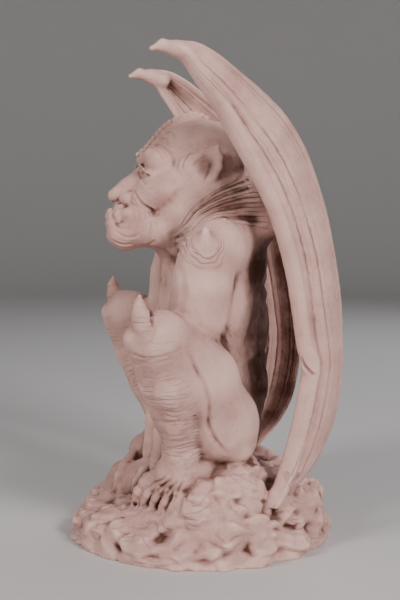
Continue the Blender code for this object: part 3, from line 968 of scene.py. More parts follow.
@dataclass
class Rock:
    """The craggy round rock that the figure crouches on.

    Attributes:
        radius: How far the rock reaches at the ground.
        block: The usual size of a block of its ledges.
        rows: Height, inset, number of blocks and seed of each row of broken ledges.
        front_level: The greatest height of a ledge at the front.
        ridge_count: How many upright ridges stand behind.
        tip_angle: Where the wing tips rest, in degrees from the X axis.
        tip_dip: How far the ledges sink there.
        chip: The width of a broken face.
        relief: How far such faces stand apart.
    """

    radius: float = 117.0
    block: Place = (26.0, 36.0, 13.0)
    rows: tuple[tuple[float, float, int, int], ...] = (
        (4, 8, 16, 3), (18, 20, 12, 8),
    )
    front_level: float = 20.0
    ridge_count: int = 15
    tip_angle: float = 26.0
    tip_dip: float = 12.0
    chip: float = 25.0
    relief: float = 3.4

    def model(self, clay: Clay, stone: bpy.types.Material) -> None:
        """Lays the rock's forms in a block of voxels.

        Args:
            clay: The block.
            stone: The material that the grown ledges carry.
        """
        rim = 18.0
        rim_posts = 20
        for index in range(rim_posts):
            angle = index * math.tau / rim_posts
            x = math.cos(angle) * (self.radius - rim)
            y = math.sin(angle) * (self.radius - rim)
            clay.bone((x, y, -4, rim), (x, y, 7, rim), 10)
            clay.bone((x, y, 7, rim + 4), (x * 0.3, y * 0.3, 15, rim + 7), 10)
        clay.limb([(-60, -62, 0, 22), (-60, 0, 36, 26), (-66, 24, 58, 22), (-70, 30, 10, 26)], 12)
        clay.limb([(60, -56, 4, 22), (62, 8, 43, 24), (66, 24, 60, 22), (70, 30, 10, 26)], 12)
        clay.limb([(-60, -62, 0, 22), (60, -56, 4, 22)], 12)
        clay.limb([(-60, 0, 36, 26), (0, -22, 34, 26), (62, 8, 43, 24)], 12)
        clay.limb([(-52, 18, 56, 28), (0, 20, 54, 31), (52, 20, 58, 28)], 12)
        clay.limb([(0, -22, 34, 26), (0, 22, 52, 30), (0, 62, 30, 26), (0, 92, 22, 22)], 12)
        clay.limb([(-66, -44, 52, 13), (-71, -64, 38, 15), (-68, -84, 16, 15), (-62, -98, 2, 14)], 9)
        clay.limb([(-28, -72, 20, 12), (-50, -66, 26, 13), (-64, -58, 36, 13)], 9)
        clay.limb([(32, -66, 26, 10), (54, -54, 27, 10), (80, -36, 26, 10)], 9)
        clay.limb([(-34, -82, 22, 12), (-56, -76, 25, 12), (-78, -58, 28, 12)], 9)
        clay.limb([(-28, -72, 16, 10), (-52, -60, 17, 10)], 9)
        clay.limb([(-30, -44, 44, 17), (-40, -62, 32, 15), (-48, -80, 20, 13)], 9)
        clay.limb([(-24, -34, 58, 14), (-35, -57, 48, 14)], 8)
        clay.limb([(78, -26, 46, 11), (88, -14, 48, 12), (92, 4, 46, 12)], 8)
        clay.limb([(86, -34, 24, 15), (95, -8, 28, 16), (96, 14, 29, 16), (90, 34, 28, 16)], 12)
        for side in SIDES:
            clay.limb(mirrored([(84, -22, 42, 14), (84, 2, 57, 15), (75, 21, 65, 17), (88, 24, 36, 17)],
                               side), 8)
            clay.limb(mirrored([(44, 20, 50, 28), (56, 78, 26, 24), (30, 80, 24, 26)], side), 12)
            clay.limb(mirrored([(80, 62, 42, 11), (70, 84, 42, 13), (66, 62, 24, 16), (80, 62, 42, 11)],
                               side), 8)
            clay.limb(mirrored([(58, 22, 68, 15), (52, 30, 66, 14), (30, 34, 64, 16)], side), 9)
        self.rear_mound(clay)
        self.ledges(clay, stone)
        self.chip_faces(clay)
        for side in SIDES:
            clay.limb(mirrored([(112, 66, 108, 14), (108, 58, 72, 12), (103, 50, 50, 8)], side), 4,
                      carve=True)

    def rear_mound(self, clay: Clay) -> None:
        """Adds the flowing upright ridges that the wing tips rest on."""
        pick = random.Random(8)
        for index in range(self.ridge_count):
            side = 2.0 * index / (self.ridge_count - 1) - 1.0
            angle = math.radians(90 - 52 * side)
            radius = self.radius - 12 + pick.uniform(-2, 2)
            top = 38 + 20 * abs(side) + pick.uniform(-5, 5)
            width = pick.uniform(6.0, 9.0)
            drift = angle + pick.uniform(-0.1, 0.1)
            crest = (math.cos(angle) * radius, math.sin(angle) * radius, top, width)
            waist = (math.cos(drift) * (radius + 6), math.sin(drift) * (radius + 6), top * 0.55, width * 0.9)
            toe = (math.cos(drift) * (radius + 12), math.sin(drift) * (radius + 12), 10, width * 1.05)
            root = (crest[0] * 0.82, crest[1] * 0.82, top - 4, width)
            clay.limb([root, crest, waist, toe], 3)

    def ledges(self, clay: Clay, stone: bpy.types.Material) -> None:
        """Lays rows of broken blocks round the rock, stepping back as they rise."""
        tree = ledge_tree()
        for height, inset, count, seed in self.rows:
            pick = random.Random(seed)
            path = []
            for index in range(count * 2):
                angle = index * math.tau / (count * 2)
                radius = self.radius - inset - 11 + pick.uniform(-4, 4)
                front = float(smooth_step(0.1, 0.5, np.array(-math.sin(angle))))
                level = height + (min(height, self.front_level) - height) * front + pick.uniform(-3, 3)
                off = (math.degrees(math.atan2(math.sin(angle),
                                               abs(math.cos(angle)))) - self.tip_angle) / 18.0
                level -= self.tip_dip * math.exp(-off * off) * height / 35.0
                path.append((math.cos(angle) * radius, math.sin(angle) * radius, level))
            inputs = {"Count": count, "Block Size": self.block, "Turn": 0.24, "Seed": seed, "Material": stone}
            clay.add_mesh(*tree.grow(np.array(path), inputs), 12.0)

    def chip_faces(self, clay: Clay) -> None:
        """Breaks the surface into leaning faces, beds of stone and cracks."""
        band = 12.0
        most = 3.6
        crumb_size = self.chip * 0.42
        bed = 8.5
        bed_step = 2.2
        swell = 1.6
        foot_places = {1: (56.0, -48.0, 0.0), -1: (-58.0, -60.0, 0.0)}
        foot_reach = (26.0, 42.0)
        slices, (x, y, z) = clay.window(np.array([-140.0, -140.0, -10.0]), np.array([140.0, 140.0, 96.0]))
        part = clay.field[slices]
        near = np.abs(part) < band
        spot = np.argwhere(near)
        places = np.stack([x.ravel()[spot[:, 0]], y.ravel()[spot[:, 1]], z.ravel()[spot[:, 2]]], axis=1)
        lean = np.stack([slope[near] for slope in np.gradient(part, clay.cell)], axis=1)
        lean /= np.maximum(np.linalg.norm(lean, axis=1, keepdims=True), 0.2)
        places = places - lean * part[near][:, None]
        bent = places * np.array([1.0, 1.0, 1.9])
        bent = bent + lattice_noise(places, 18.0, 4)[:, None] * np.array([6.0, -6.0, 9.0])
        face, border = broken_faces(bent, self.chip, 5)
        small, small_border = broken_faces(bent, crumb_size, 6)
        lump = smooth_step(0.0, 0.16, border)
        crumb = smooth_step(0.0, 0.2, small_border)
        push = (0.3 - 0.4 * lump) * self.relief + face * lump * self.relief * 1.6
        push += (0.3 - 0.4 * crumb) * self.relief * 0.2 + small * crumb * self.relief * 0.55
        beds = (places[:, 2] + lattice_noise(places, 34.0, 9) * 9.0) / bed
        beds = beds - np.floor(beds)
        strength = np.clip(0.4 + lattice_noise(places, 26.0, 12), 0.0, 1.0)
        push += (beds - 0.5) * (1.0 - smooth_step(0.8, 1.0, beds)) * bed_step * strength
        push += lattice_noise(places, 15.0, 14) * swell
        push = np.clip(push, -most, most)
        flat = places * np.array([1.0, 1.0, 0.0])
        under_feet = np.zeros(len(places))
        for side in SIDES:
            gap = np.linalg.norm(flat - np.array(foot_places[side]), axis=1)
            under_feet = np.maximum(under_feet, 1.0 - smooth_step(*foot_reach, gap))
        push *= 1.0 - 0.7 * under_feet
        part[near] += push.astype(np.float32)
        for axis in range(3):
            part[...] = (np.roll(part, 1, axis) + np.roll(part, -1, axis)) * 0.25 + part * 0.5

    def lines(self, creases: Creases) -> None:
        """Lays fine cracks that flow along the beds of the rock."""
        top = 76.0
        under_body = (78.0, 58.0)
        wing_tip = np.array([88.0, 50.0, 29.0])
        foot_place = (58.0, -46.0)
        gap_between = 7.5
        across = np.abs(creases.points[:, 0])
        height = creases.points[:, 2]
        chosen = np.flatnonzero((height < top) & ~((across < under_body[0]) & (height > under_body[1])))
        points = creases.points[chosen]
        flow = points[:, 2] + points[:, 1] * 0.3 + lattice_noise(points, 26.0, 61) * 11.0
        flow += lattice_noise(points, 9.0, 62) * 4.0 + lattice_noise(points, 4.5, 64) * 1.3
        depth = np.clip(lattice_noise(points, 13.0, 63) * 2.4 - 0.1, 0.0, 1.0) * 0.65
        tip = np.stack([np.abs(points[:, 0]), points[:, 1], points[:, 2] * 0.5]).T - wing_tip
        depth *= smooth_step(13.0, 18.0, np.linalg.norm(tip, axis=1))
        feet = np.zeros(len(points))
        for side in SIDES:
            gap = np.linalg.norm(points[:, :2] - np.array([side * foot_place[0], foot_place[1]]), axis=1)
            feet = np.maximum(feet,
                              (1.0 - smooth_step(20.0, 34.0, gap)) * smooth_step(32.0, 38.0, points[:, 2]))
        creases.lay(chosen, flow / gap_between, depth * (1.0 - feet) * smooth_step(1.0, 4.0, points[:, 2]))


@dataclass
class Trunk:
    """The hips, belly, chest, humped back and neck, with the knobs down the spine.

    Attributes:
        spine: Places along the spine, from the hips up.
        spine_knobs: How many knobs it has.
        folds: The top and the lowest fold of the neck, as (y, z).
        fold_count: How many hair-fine folds lie between them.
        ribs: How many ribs show on each side.
    """

    spine: list[Place] = field(default_factory=lambda: [
        (0, 57, 104), (0, 62, 140), (0, 63.5, 180), (0, 63, 220), (0, 61, 260), (0, 58, 295), (0, 53, 325),
        (0, 45, 352),
    ])
    spine_knobs: int = 17
    folds: tuple[tuple[Flat, ...], tuple[Flat, ...]] = (
        ((-41, 283), (-27, 293), (-13, 312), (8, 325), (27, 333), (48, 340)),
        ((-30, 276), (-17, 288), (-4, 297), (12, 300), (28, 299), (48, 296)),
    )
    fold_count: int = 11
    ribs: int = 5

    def model(self, clay: Clay, stone: bpy.types.Material) -> None:
        """Lays the trunk's forms in the block."""
        clay.limb([(0, 8, 100, 38), (0, 5, 150, 37), (0, 3, 225, 37), (0, 10, 285, 34), (0, 12, 345, 36)], 14)
        clay.bone((-30, 8, 104, 32), (30, 8, 104, 32), 14)
        clay.bone((-36, 4, 225, 33), (36, 4, 225, 33), 14)
        clay.bone((-46, 10, 284, 29), (46, 10, 284, 29), 14)
        clay.bone((0, -16, 165, 27), (0, -10, 120, 27), 14)
        clay.limb([(0, 36, 96, 22), (0, 42, 140, 20), (0, 43, 200, 20), (0, 41, 262, 20), (0, 34, 305, 22)],
                  16)
        clay.bone((0, -10, 262, 27), (0, -16, 318, 32), 12)
        for side in SIDES:
            clay.limb(mirrored([(30, 8, 104, 32), (24, 4, 150, 34), (36, 4, 225, 33), (46, 10, 284, 29)],
                               side), 14)
            clay.bone(*mirrored([(44, 10, 286, 27), (14, 14, 346, 35)], side), 16)
            clay.limb(mirrored([(32, 20, 106, 25), (30, 18, 120, 24)], side), 8)
            clay.limb(mirrored([(24, 38, 214, 10), (33, 40, 254, 13), (28, 38, 288, 14)], side), 10)
            clay.egg((side * 21, -17, 245), (19, 14, 16), 7, (0, side * 12, 0))
            clay.limb(mirrored([(6, -34, 272, 7), (30, -24, 276, 6), (52, -10, 282, 6)], side), 6)
            for index in range(self.ribs):
                low = 212 - index * 11
                rib = [(38, 12, low + 10, 5), (38, -8, low, 5), (28, -24, low - 8, 5),
                       (14, -33, low - 4, 3.5)]
                clay.limb(mirrored(rib, side), 7)
                back = [(12, 52, low + 12, 4), (28, 42, low + 8, 5), (44, 24, low + 2, 5)]
                clay.limb(mirrored(back, side), 6)
        clay.egg((0, -30, 160), (24, 17, 24), 9)
        knobs = {"Count": self.spine_knobs, "Knob Radius": 4.6, "Seed": 4, "Material": stone}
        clay.add_mesh(*knob_tree().grow(spline(self.spine, 60) - np.array([0, 3.5, 0]), knobs), 6.0)

    def lines(self, creases: Creases) -> None:
        """Lays the fan of fine folds from under the ear to the wing."""
        paths = [spline([(0, *place) for place in path], 40) for path in self.folds]
        share = np.linspace(-0.1, 1.1, 26)[:, None]
        grid = paths[0][:, None] * (1 - share) + paths[1][:, None] * share
        points = creases.points
        inside = (np.abs(points[:, 0]) > 22) & (np.abs(points[:, 0]) < 80) & (points[:, 1] > -44)
        inside &= (points[:, 1] < 50) & (points[:, 2] > 270) & (points[:, 2] < 345)
        inside &= creases.normals[:, 0] * np.sign(points[:, 0]) > 0.05
        chosen = np.flatnonzero(inside)
        seen = points[chosen] * np.array([0, 1, 1])
        across, _, gap = creases.sheet(seen, grid)
        wave = lattice_noise(points[chosen], 15.0, 33) * 0.06 + lattice_noise(points[chosen], 5.0, 34) * 0.012
        depth = (1.0 - smooth_step(1.5, 6.0, gap)) * smooth_step(-0.08, 0.03, across)
        depth *= 1.0 - smooth_step(0.97, 1.08, across)
        depth *= np.clip(0.8 + 0.7 * lattice_noise(points[chosen], 9.0, 35), 0.2, 1.0)
        creases.lay(chosen, (across + wave) * self.fold_count, depth)

    def carve(self, carving: Carving) -> None:
        """Draws the folds of the neck, the belly and the flanks."""
        top, low = self.folds
        broad_folds = 8
        for index in range(broad_folds):
            share = (index + 0.4 * math.sin(index * 2.3)) / (broad_folds - 1)
            path = np.array(top) * (1 - share) + np.array(low) * share
            fold = Stroke([tuple(place) for place in path], 1.5, 1.9, start=78.0, lip=0.5)
            carving.both_sides([fold])
        flank = [
            Stroke([(12, 212), (22, 192), (30, 165)], 1.4, 0.7, start=72.0),
            Stroke([(20, 226), (30, 204), (36, 176)], 1.4, 0.7, start=72.0),
            Stroke([(-28, 262), (-22, 240), (-16, 214)], 1.6, 1.0, start=60.0),
        ]
        carving.both_sides(flank)
        for z in (143, 152, 176, 187):
            carving.stroke(Stroke([(-20, z), (0, z - 3), (20, z)], 1.6, 1.3, Facing.FRONT))
        carving.stroke(Stroke([(0, 260), (0, 230), (0, 200)], 2.4, 1.8, Facing.FRONT))
        for z in (300, 314, 328):
            carving.stroke(Stroke([(-34, z + 4), (-14, z), (14, z), (34, z + 4)], 1.6, 1.1, Facing.BACK))


@dataclass
class Head:
    """The skull, the long nose, the lips and fangs, the ears and the crest of knobs.

    Attributes:
        middle: A place inside the skull, from which the crest is set out.
        crest_knobs: How many knobs the crest has.
        crest_turn: The directions of its first and last knobs, in degrees above the +Y axis.
        knob: The radius of a knob.
    """

    middle: Place = (0.0, -8.0, 350.0)
    crest_knobs: int = 16
    crest_turn: Flat = (169.0, 72.0)
    knob: float = 2.6

    def model(self, clay: Clay, stone: bpy.types.Material) -> None:
        """Lays the head's forms in the block."""
        clay.egg((0, 1, 352), (40, 44, 41), 8)
        clay.egg((0, -28, 340), (33, 26, 29), 9)
        clay.bone((0, -22, 322, 32), (0, -34, 300, 24), 10)
        clay.limb([(0, -49, 343, 10.5), (0, -59.5, 333.8, 9.4), (0, -68, 329.3, 8.4),
                   (0, -80.8, 321.8, 6.2)], 4)
        clay.limb([(0, -58, 322, 15), (0, -62, 312, 13)], 6)
        clay.bone((-6, -76, 308.5, 6.4), (6, -76, 308.5, 6.4), 4)
        clay.bone((-3, -80, 305.5, 4.6), (3, -80, 305.5, 4.6), 2)
        clay.bone((-8, -83, 296, 6), (8, -83, 296, 6), 4)
        clay.bone((-9, -79, 303, 5.2), (9, -79, 303, 5.2), 3)
        clay.bone((-9, -78.5, 285, 9.3), (9, -78.5, 285, 9.3), 5)
        clay.bone((-6, -72, 279.5, 9.2), (6, -72, 279.5, 9.2), 4)
        clay.bone((0, -62, 290, 17), (0, -46, 293, 19), 8)
        for side in SIDES:
            self.half_face(clay, side)
        angles = np.radians(np.linspace(*self.crest_turn, 60))
        toward = np.stack([np.zeros(60), np.cos(angles), np.sin(angles)], axis=1)
        keel = clay.leave(self.middle, toward, 0.2)
        clay.limb([(*place, 2.8) for place in keel[::6]], 5)
        path = clay.leave(self.middle, toward, 1.3)
        knobs = {"Count": self.crest_knobs, "Knob Radius": self.knob, "Least Scale": 0.9, "Most Scale": 1.15,
                 "Seed": 2, "Material": stone}
        clay.add_mesh(*knob_tree().grow(path, knobs), 0.4)

    def half_face(self, clay: Clay, side: int) -> None:
        """Lays one half of the face."""
        clay.limb(mirrored([(11, -50, 331, 12), (14, -54, 318, 12), (13, -58, 310, 10)], side), 6)
        clay.egg((side * 21, -38, 322), (15, 20, 17), 8, (0, side * 10, 0))
        clay.limb(mirrored([(35, -20, 336, 7), (31, -34, 329, 8), (25, -46, 326, 8)], side), 12)
        clay.egg((side * 15, -67, 302), (6.5, 8, 7.5), 3.5, (0, 0, side * -30))
        clay.egg((side * 20, -57, 300), (9, 9, 12), 6, (0, 0, side * -30))
        clay.limb(mirrored([(28, -28, 294, 14), (24, -40, 289, 13), (13, -66, 286, 11)], side), 7)
        clay.limb(mirrored([(30, -22, 300, 15), (30, -10, 314, 16)], side), 8)
        clay.limb(mirrored([(26, -22, 284, 14), (40, -12, 288, 15), (36, 0, 306, 16)], side), 9)
        clay.egg((side * 9.5, -69, 318.5), (6.8, 8.4, 6.6), 1.6, (0, 0, side * -16))
        clay.egg((side * 18.5, -42, 353), (14, 12.5, 12), 7, (0, side * 8, side * -22))
        clay.limb(mirrored([(4, -52.5, 354, 5.2), (11, -52.5, 356, 5.4), (19, -50, 359, 5)], side), 4)
        socket = [(16, -58.5, 346, 2.4), (18.5, -58.5, 341.5, 4.6), (24, -54, 338.8, 3.4)]
        clay.limb(mirrored(socket, side), 1.2, carve=True)
        clay.egg((side * 18.8, -49.3, 341.2), (6.4, 6.4, 5.8), 0.6)
        lower = [(13, -57.5, 336.8, 1.9), (18.5, -56.5, 333.8, 2.4), (24, -52.5, 335, 2.4),
                 (29, -46, 338.5, 1.9)]
        clay.limb(mirrored(lower, side), 1.5)
        lid = [(14, -58, 350, 1.5), (19, -57, 346.6, 1.9), (25, -52.5, 342.8, 1.9), (29, -47, 340, 1.5)]
        clay.limb(mirrored(lid, side), 1.2)
        clay.bone(*mirrored([(20.5, -58, 341, 1.4), (20.3, -54.8, 341, 1.2)], side), 0.4, carve=True)
        clay.bone(*mirrored([(7.5, -77, 313, 1.5), (8.5, -72, 315, 1.5)], side), 0.6, carve=True)
        mouth = [(3, -87.5, 302.4, 0.9), (10, -85.5, 302, 1.0), (16, -77, 305, 1.2), (22, -68.5, 311, 1.1)]
        clay.limb(mirrored(mouth, side), 1.2, carve=True)
        clay.bone(*mirrored([(9, -78, 303, 5.2), (17, -70, 305, 5.5)], side), 1.5)
        clay.limb(mirrored([(8.6, -82.5, 296.5, 3.8), (9.2, -85.3, 302.5, 3.3), (8.6, -85, 308.5, 1.7)],
                           side), 0.6)
        clay.limb(mirrored([(14.2, -78, 299, 3.2), (14.8, -80, 304, 2.7), (14.2, -79.5, 308.5, 1.4)], side),
                  0.6)
        clay.limb(mirrored([(3.2, -84.5, 299, 2.6), (3.2, -85.5, 303.5, 1.8)], side), 0.6)
        self.ear(clay, side)

    def ear(self, clay: Clay, side: int) -> None:
        """Lays a pointed ear that sweeps back from the head, hollow inside its rim."""
        clay.limb(mirrored([(35, -18, 345, 7), (37, -12, 326, 7)], side), 5)
        leaf = [(55, 4.5, 358), (56, 5, 351), (55, 3.5, 343.5), (50.5, -0.5, 335.5)]
        for number, end in enumerate(leaf):
            root = (37 + number * 0.5, -19 + number * 3.0, 350 - number * 8.5, 5.5)
            clay.bone(*mirrored([root, (*end, 3.4)], side), 7.0)
        bowl = [(60, 0.5, 355, 1.8), (60.5, -1.5, 348, 4.6), (58, -5.5, 340, 4.8), (53, -10.5, 331.5, 2.2)]
        clay.limb(mirrored(bowl, side), 2.5, carve=True)
        clay.limb(mirrored([(56.5, -8, 353, 2.2), (55, -12.5, 345.5, 2.8)], side), 2.5, carve=True)
        rim = [(40, -22, 346.5, 2.8), (44.5, -15, 354, 2.9), (50, -5, 360, 2.7), (56.5, 6.5, 364, 1.5)]
        clay.limb(mirrored(rim, side), 2.5)
        rear = [(56.5, 6.5, 364, 1.5), (58, 8.6, 354, 2.3), (57.5, 8.2, 346, 2.5), (54.5, 4.8, 338, 2.5),
                (50, -1, 331, 2.6), (44, -8, 322.5, 3.0)]
        clay.limb(mirrored(rear, side), 2.5)
        clay.egg((side * 43.5, -14.5, 343), (4.2, 5.4, 7), 3, (20, 0, 0))

    def carve(self, carving: Carving) -> None:
        """Draws the wrinkles of the face and the creases of the ears."""
        creases = [
            Stroke([(-51, 365.5), (-47.6, 364.3), (-44, 362.6), (-39.9, 358.1), (-37.6, 353.2),
                    (-37.1, 349.1)], 1.1, 1.5),
            Stroke([(-41.7, 367.5), (-37, 366.5), (-32.5, 361.5), (-29.8, 356), (-30, 349), (-34, 343.5)],
                   1.1, 1.3),
            Stroke([(-31, 363), (-27.5, 357.5), (-28.6, 352)], 1.1, 0.8),
            Stroke([(-57.5, 351.7), (-54.8, 346.5), (-50.2, 342.6), (-46, 339.6), (-42.5, 337)], 0.9, 0.9),
            Stroke([(-56.9, 331.8), (-53.2, 330.0), (-47.7, 331.7), (-42.1, 335.4)], 1.1, 0.9),
            Stroke([(-55.2, 328.2), (-51.2, 326.6), (-46.7, 328.1), (-41.1, 331.4)], 1.1, 0.5),
            Stroke([(-56.8, 352.1), (-58.1, 344.8), (-57.6, 336.6), (-55.5, 330.2)], 1.3, 1.0, lip=0.2),
            Stroke([(-64.2, 326.4), (-62, 320.1), (-58.3, 314.7), (-53.3, 311), (-48.2, 308.3),
                    (-46.4, 303.6)], 1.2, 1.7),
            Stroke([(-75.7, 318.4), (-72.9, 323.4), (-67.3, 325.8), (-63.7, 324.2), (-62.8, 319.3)], 1.0,
                   1.2, lip=0.1),
            Stroke([(-68.8, 317), (-66, 313.5), (-61.5, 311.0)], 1.0, 0.8),
            Stroke([(-63, 307.5), (-61.2, 301.9), (-63.9, 296.3)], 1.0, 0.9),
            Stroke([(-60.2, 308.4), (-57.8, 301.9), (-60.4, 294.5)], 1.0, 0.9),
            Stroke([(-56.8, 308.4), (-54.2, 301.9), (-56.6, 293.5)], 1.0, 0.7),
            Stroke([(-83.4, 297.3), (-77.9, 293.2), (-72.3, 291.7), (-66.8, 293.5)], 1.0, 1.1),
            Stroke([(-83.7, 291), (-78.3, 286.4), (-72.8, 283.6), (-66.3, 283.5), (-60.7, 287.1),
                    (-58.2, 292)], 1.1, 1.2),
            Stroke([(-53.1, 299), (-51.6, 293), (-54, 286.7)], 1.1, 0.8),
            Stroke([(-48.1, 299), (-46.6, 292), (-49, 285.7)], 1.1, 0.6),
            Stroke([(-84.8, 281.3), (-79.3, 278.1), (-72.8, 276.8), (-66, 277.5)], 1.1, 1.4),
            Stroke([(-70, 273.4), (-60.1, 274.5), (-50.1, 278), (-41.7, 284.4)], 1.2, 0.8),
            Stroke([(-24.5, 343), (-23, 350.5), (-18.2, 356.4), (-12.6, 360.3)], 1.2, 2.0, lip=0.1),
            Stroke([(-16.5, 344), (-13, 349), (-7.5, 353.5), (-1.5, 357.5)], 1.0, 1.2, lip=0.3),
            Stroke([(-8, 331), (-3.5, 338), (-1, 345), (1, 351)], 1.0, 1.1, lip=0.3),
        ]
        carving.both_sides(creases)
        for height, reach, drop in ((361, 9, -1), (367, 15, 0), (373, 17, 1), (379, 18, 2)):
            brow = [(3, height + drop), (reach * 0.6, height + 2), (reach, height - 1),
                    (reach + 6, height - 7)]
            carving.both_sides([Stroke(brow, 1.2, 0.9, Facing.FRONT)])
        for x in (2.5, 6.5):
            carving.both_sides([Stroke([(x, 360), (x * 0.8, 352), (x * 1.1, 345)], 0.9, 0.9, Facing.FRONT)])
        for index in range(5):
            x = 2.2 + index * 2.6
            carving.both_sides([Stroke([(x, 312), (x + 0.6, 307), (x + 0.4, 302)], 0.8, 0.6, Facing.FRONT)])


@dataclass
class Arms:
    """The shoulders with their knobs, the thick upper arms, the forearms and the hands.

    Attributes:
        knob: The middle of a shoulder knob, as (y, z).
        rings: The radii of the folds round it.
    """

    knob: Flat = (-10.5, 279.0)
    rings: tuple[float, ...] = (12.6, 15.6, 18.6, 22.0)

    def model(self, clay: Clay) -> None:
        """Lays the arms' forms in the block."""
        for side in SIDES:
            clay.limb(mirrored([(40, 6, 270, 29), (66, 2, 274, 25), (76, -8, 262, 22)], side), 10)
            clay.limb(mirrored([(76, -8, 266, 22.5), (77, -11, 244, 24.5), (74, -14, 218, 24.5),
                                (66, -16, 194, 20)],
                               side), 9)
            clay.limb(mirrored([(66, -16, 196, 19), (50, -26, 152, 15.5), (34, -36, 104, 11.5),
                                (29, -42, 72, 10.5)],
                               side), 7)
            clay.egg((side * 86.5, -10, 279.5), (12, 11, 10.8), 4.0)
            clay.limb(mirrored([(94.5, -11, 285.5, 4.6), (95, -11, 289.5, 2.8), (95, -11.5, 293, 1.2)],
                               side), 3)
            clay.egg((side * 56, -18, 160), (13, 15, 24), 8)
            clay.egg((side * 84, -16, 236), (14, 17, 26), 10)
            self.hand(clay, side)

    def hand(self, clay: Clay, side: int) -> None:
        """Lays a hand with its fingers spread on the rock."""
        clay.egg((side * 27, -44, 61), (12, 10, 8), 4, (25, 0, 0))
        for spread in (-9, -3, 3, 9):
            x = 27 + spread
            wide = 27 + spread * 1.45
            clay.limb(mirrored([(x, -44, 62, 4.8), (wide, -53, 57, 4.6), (wide, -60, 47, 4)], side), 2)
            clay.limb(mirrored([(wide, -61, 47, 3.2), (wide, -64, 38, 1.4)], side), 1)

    def lines(self, creases: Creases) -> None:
        """Lays the rings round the shoulder knobs."""
        for side in SIDES:
            creases.circles(self.knob, side, (10.0, self.rings[-1]), 3.2, 0.8)

    def carve(self, carving: Carving) -> None:
        """Draws the rings round the shoulder knobs and the folds of the arms."""
        for side in SIDES:
            for number, radius in enumerate(self.rings):
                ring = []
                for index in range(12):
                    angle = math.radians(-205 + 235 * index / 11)
                    ring.append((self.knob[0] + math.cos(angle) * radius,
                                 self.knob[1] + math.sin(angle) * radius * 1.02))
                carving.stroke(Stroke(ring, 1.2, 1.3 - number * 0.25, lip=0.5), side)
            carving.wrinkle(Rings((34, -36, 104), (29, -42, 72), 18, [0.1, 0.25, 0.75, 0.95], 0.7, 1.2), side)
            for x in (18, 24, 30, 36):
                carving.stroke(Stroke([(x - 2, 66), (x - 2.5, 58), (x - 3, 50)], 1.0, 0.9, Facing.FRONT),
                               side)
        muscle = [
            Stroke([(-33, 262), (-30, 240), (-33, 218)], 2.4, 0.7),
            Stroke([(-26, 292), (-30, 276), (-31, 262)], 1.4, 0.8, start=95.0),
            Stroke([(-22, 296), (-27, 280), (-28, 268)], 1.2, 0.6, start=95.0),
            Stroke([(-2, 196), (6, 186), (14, 172)], 1.4, 0.9, start=90.0),
            Stroke([(0, 206), (9, 194), (18, 178)], 1.4, 0.9, start=90.0),
            Stroke([(3, 216), (12, 203), (22, 186)], 1.4, 0.8, start=90.0),
        ]
        carving.both_sides(muscle)


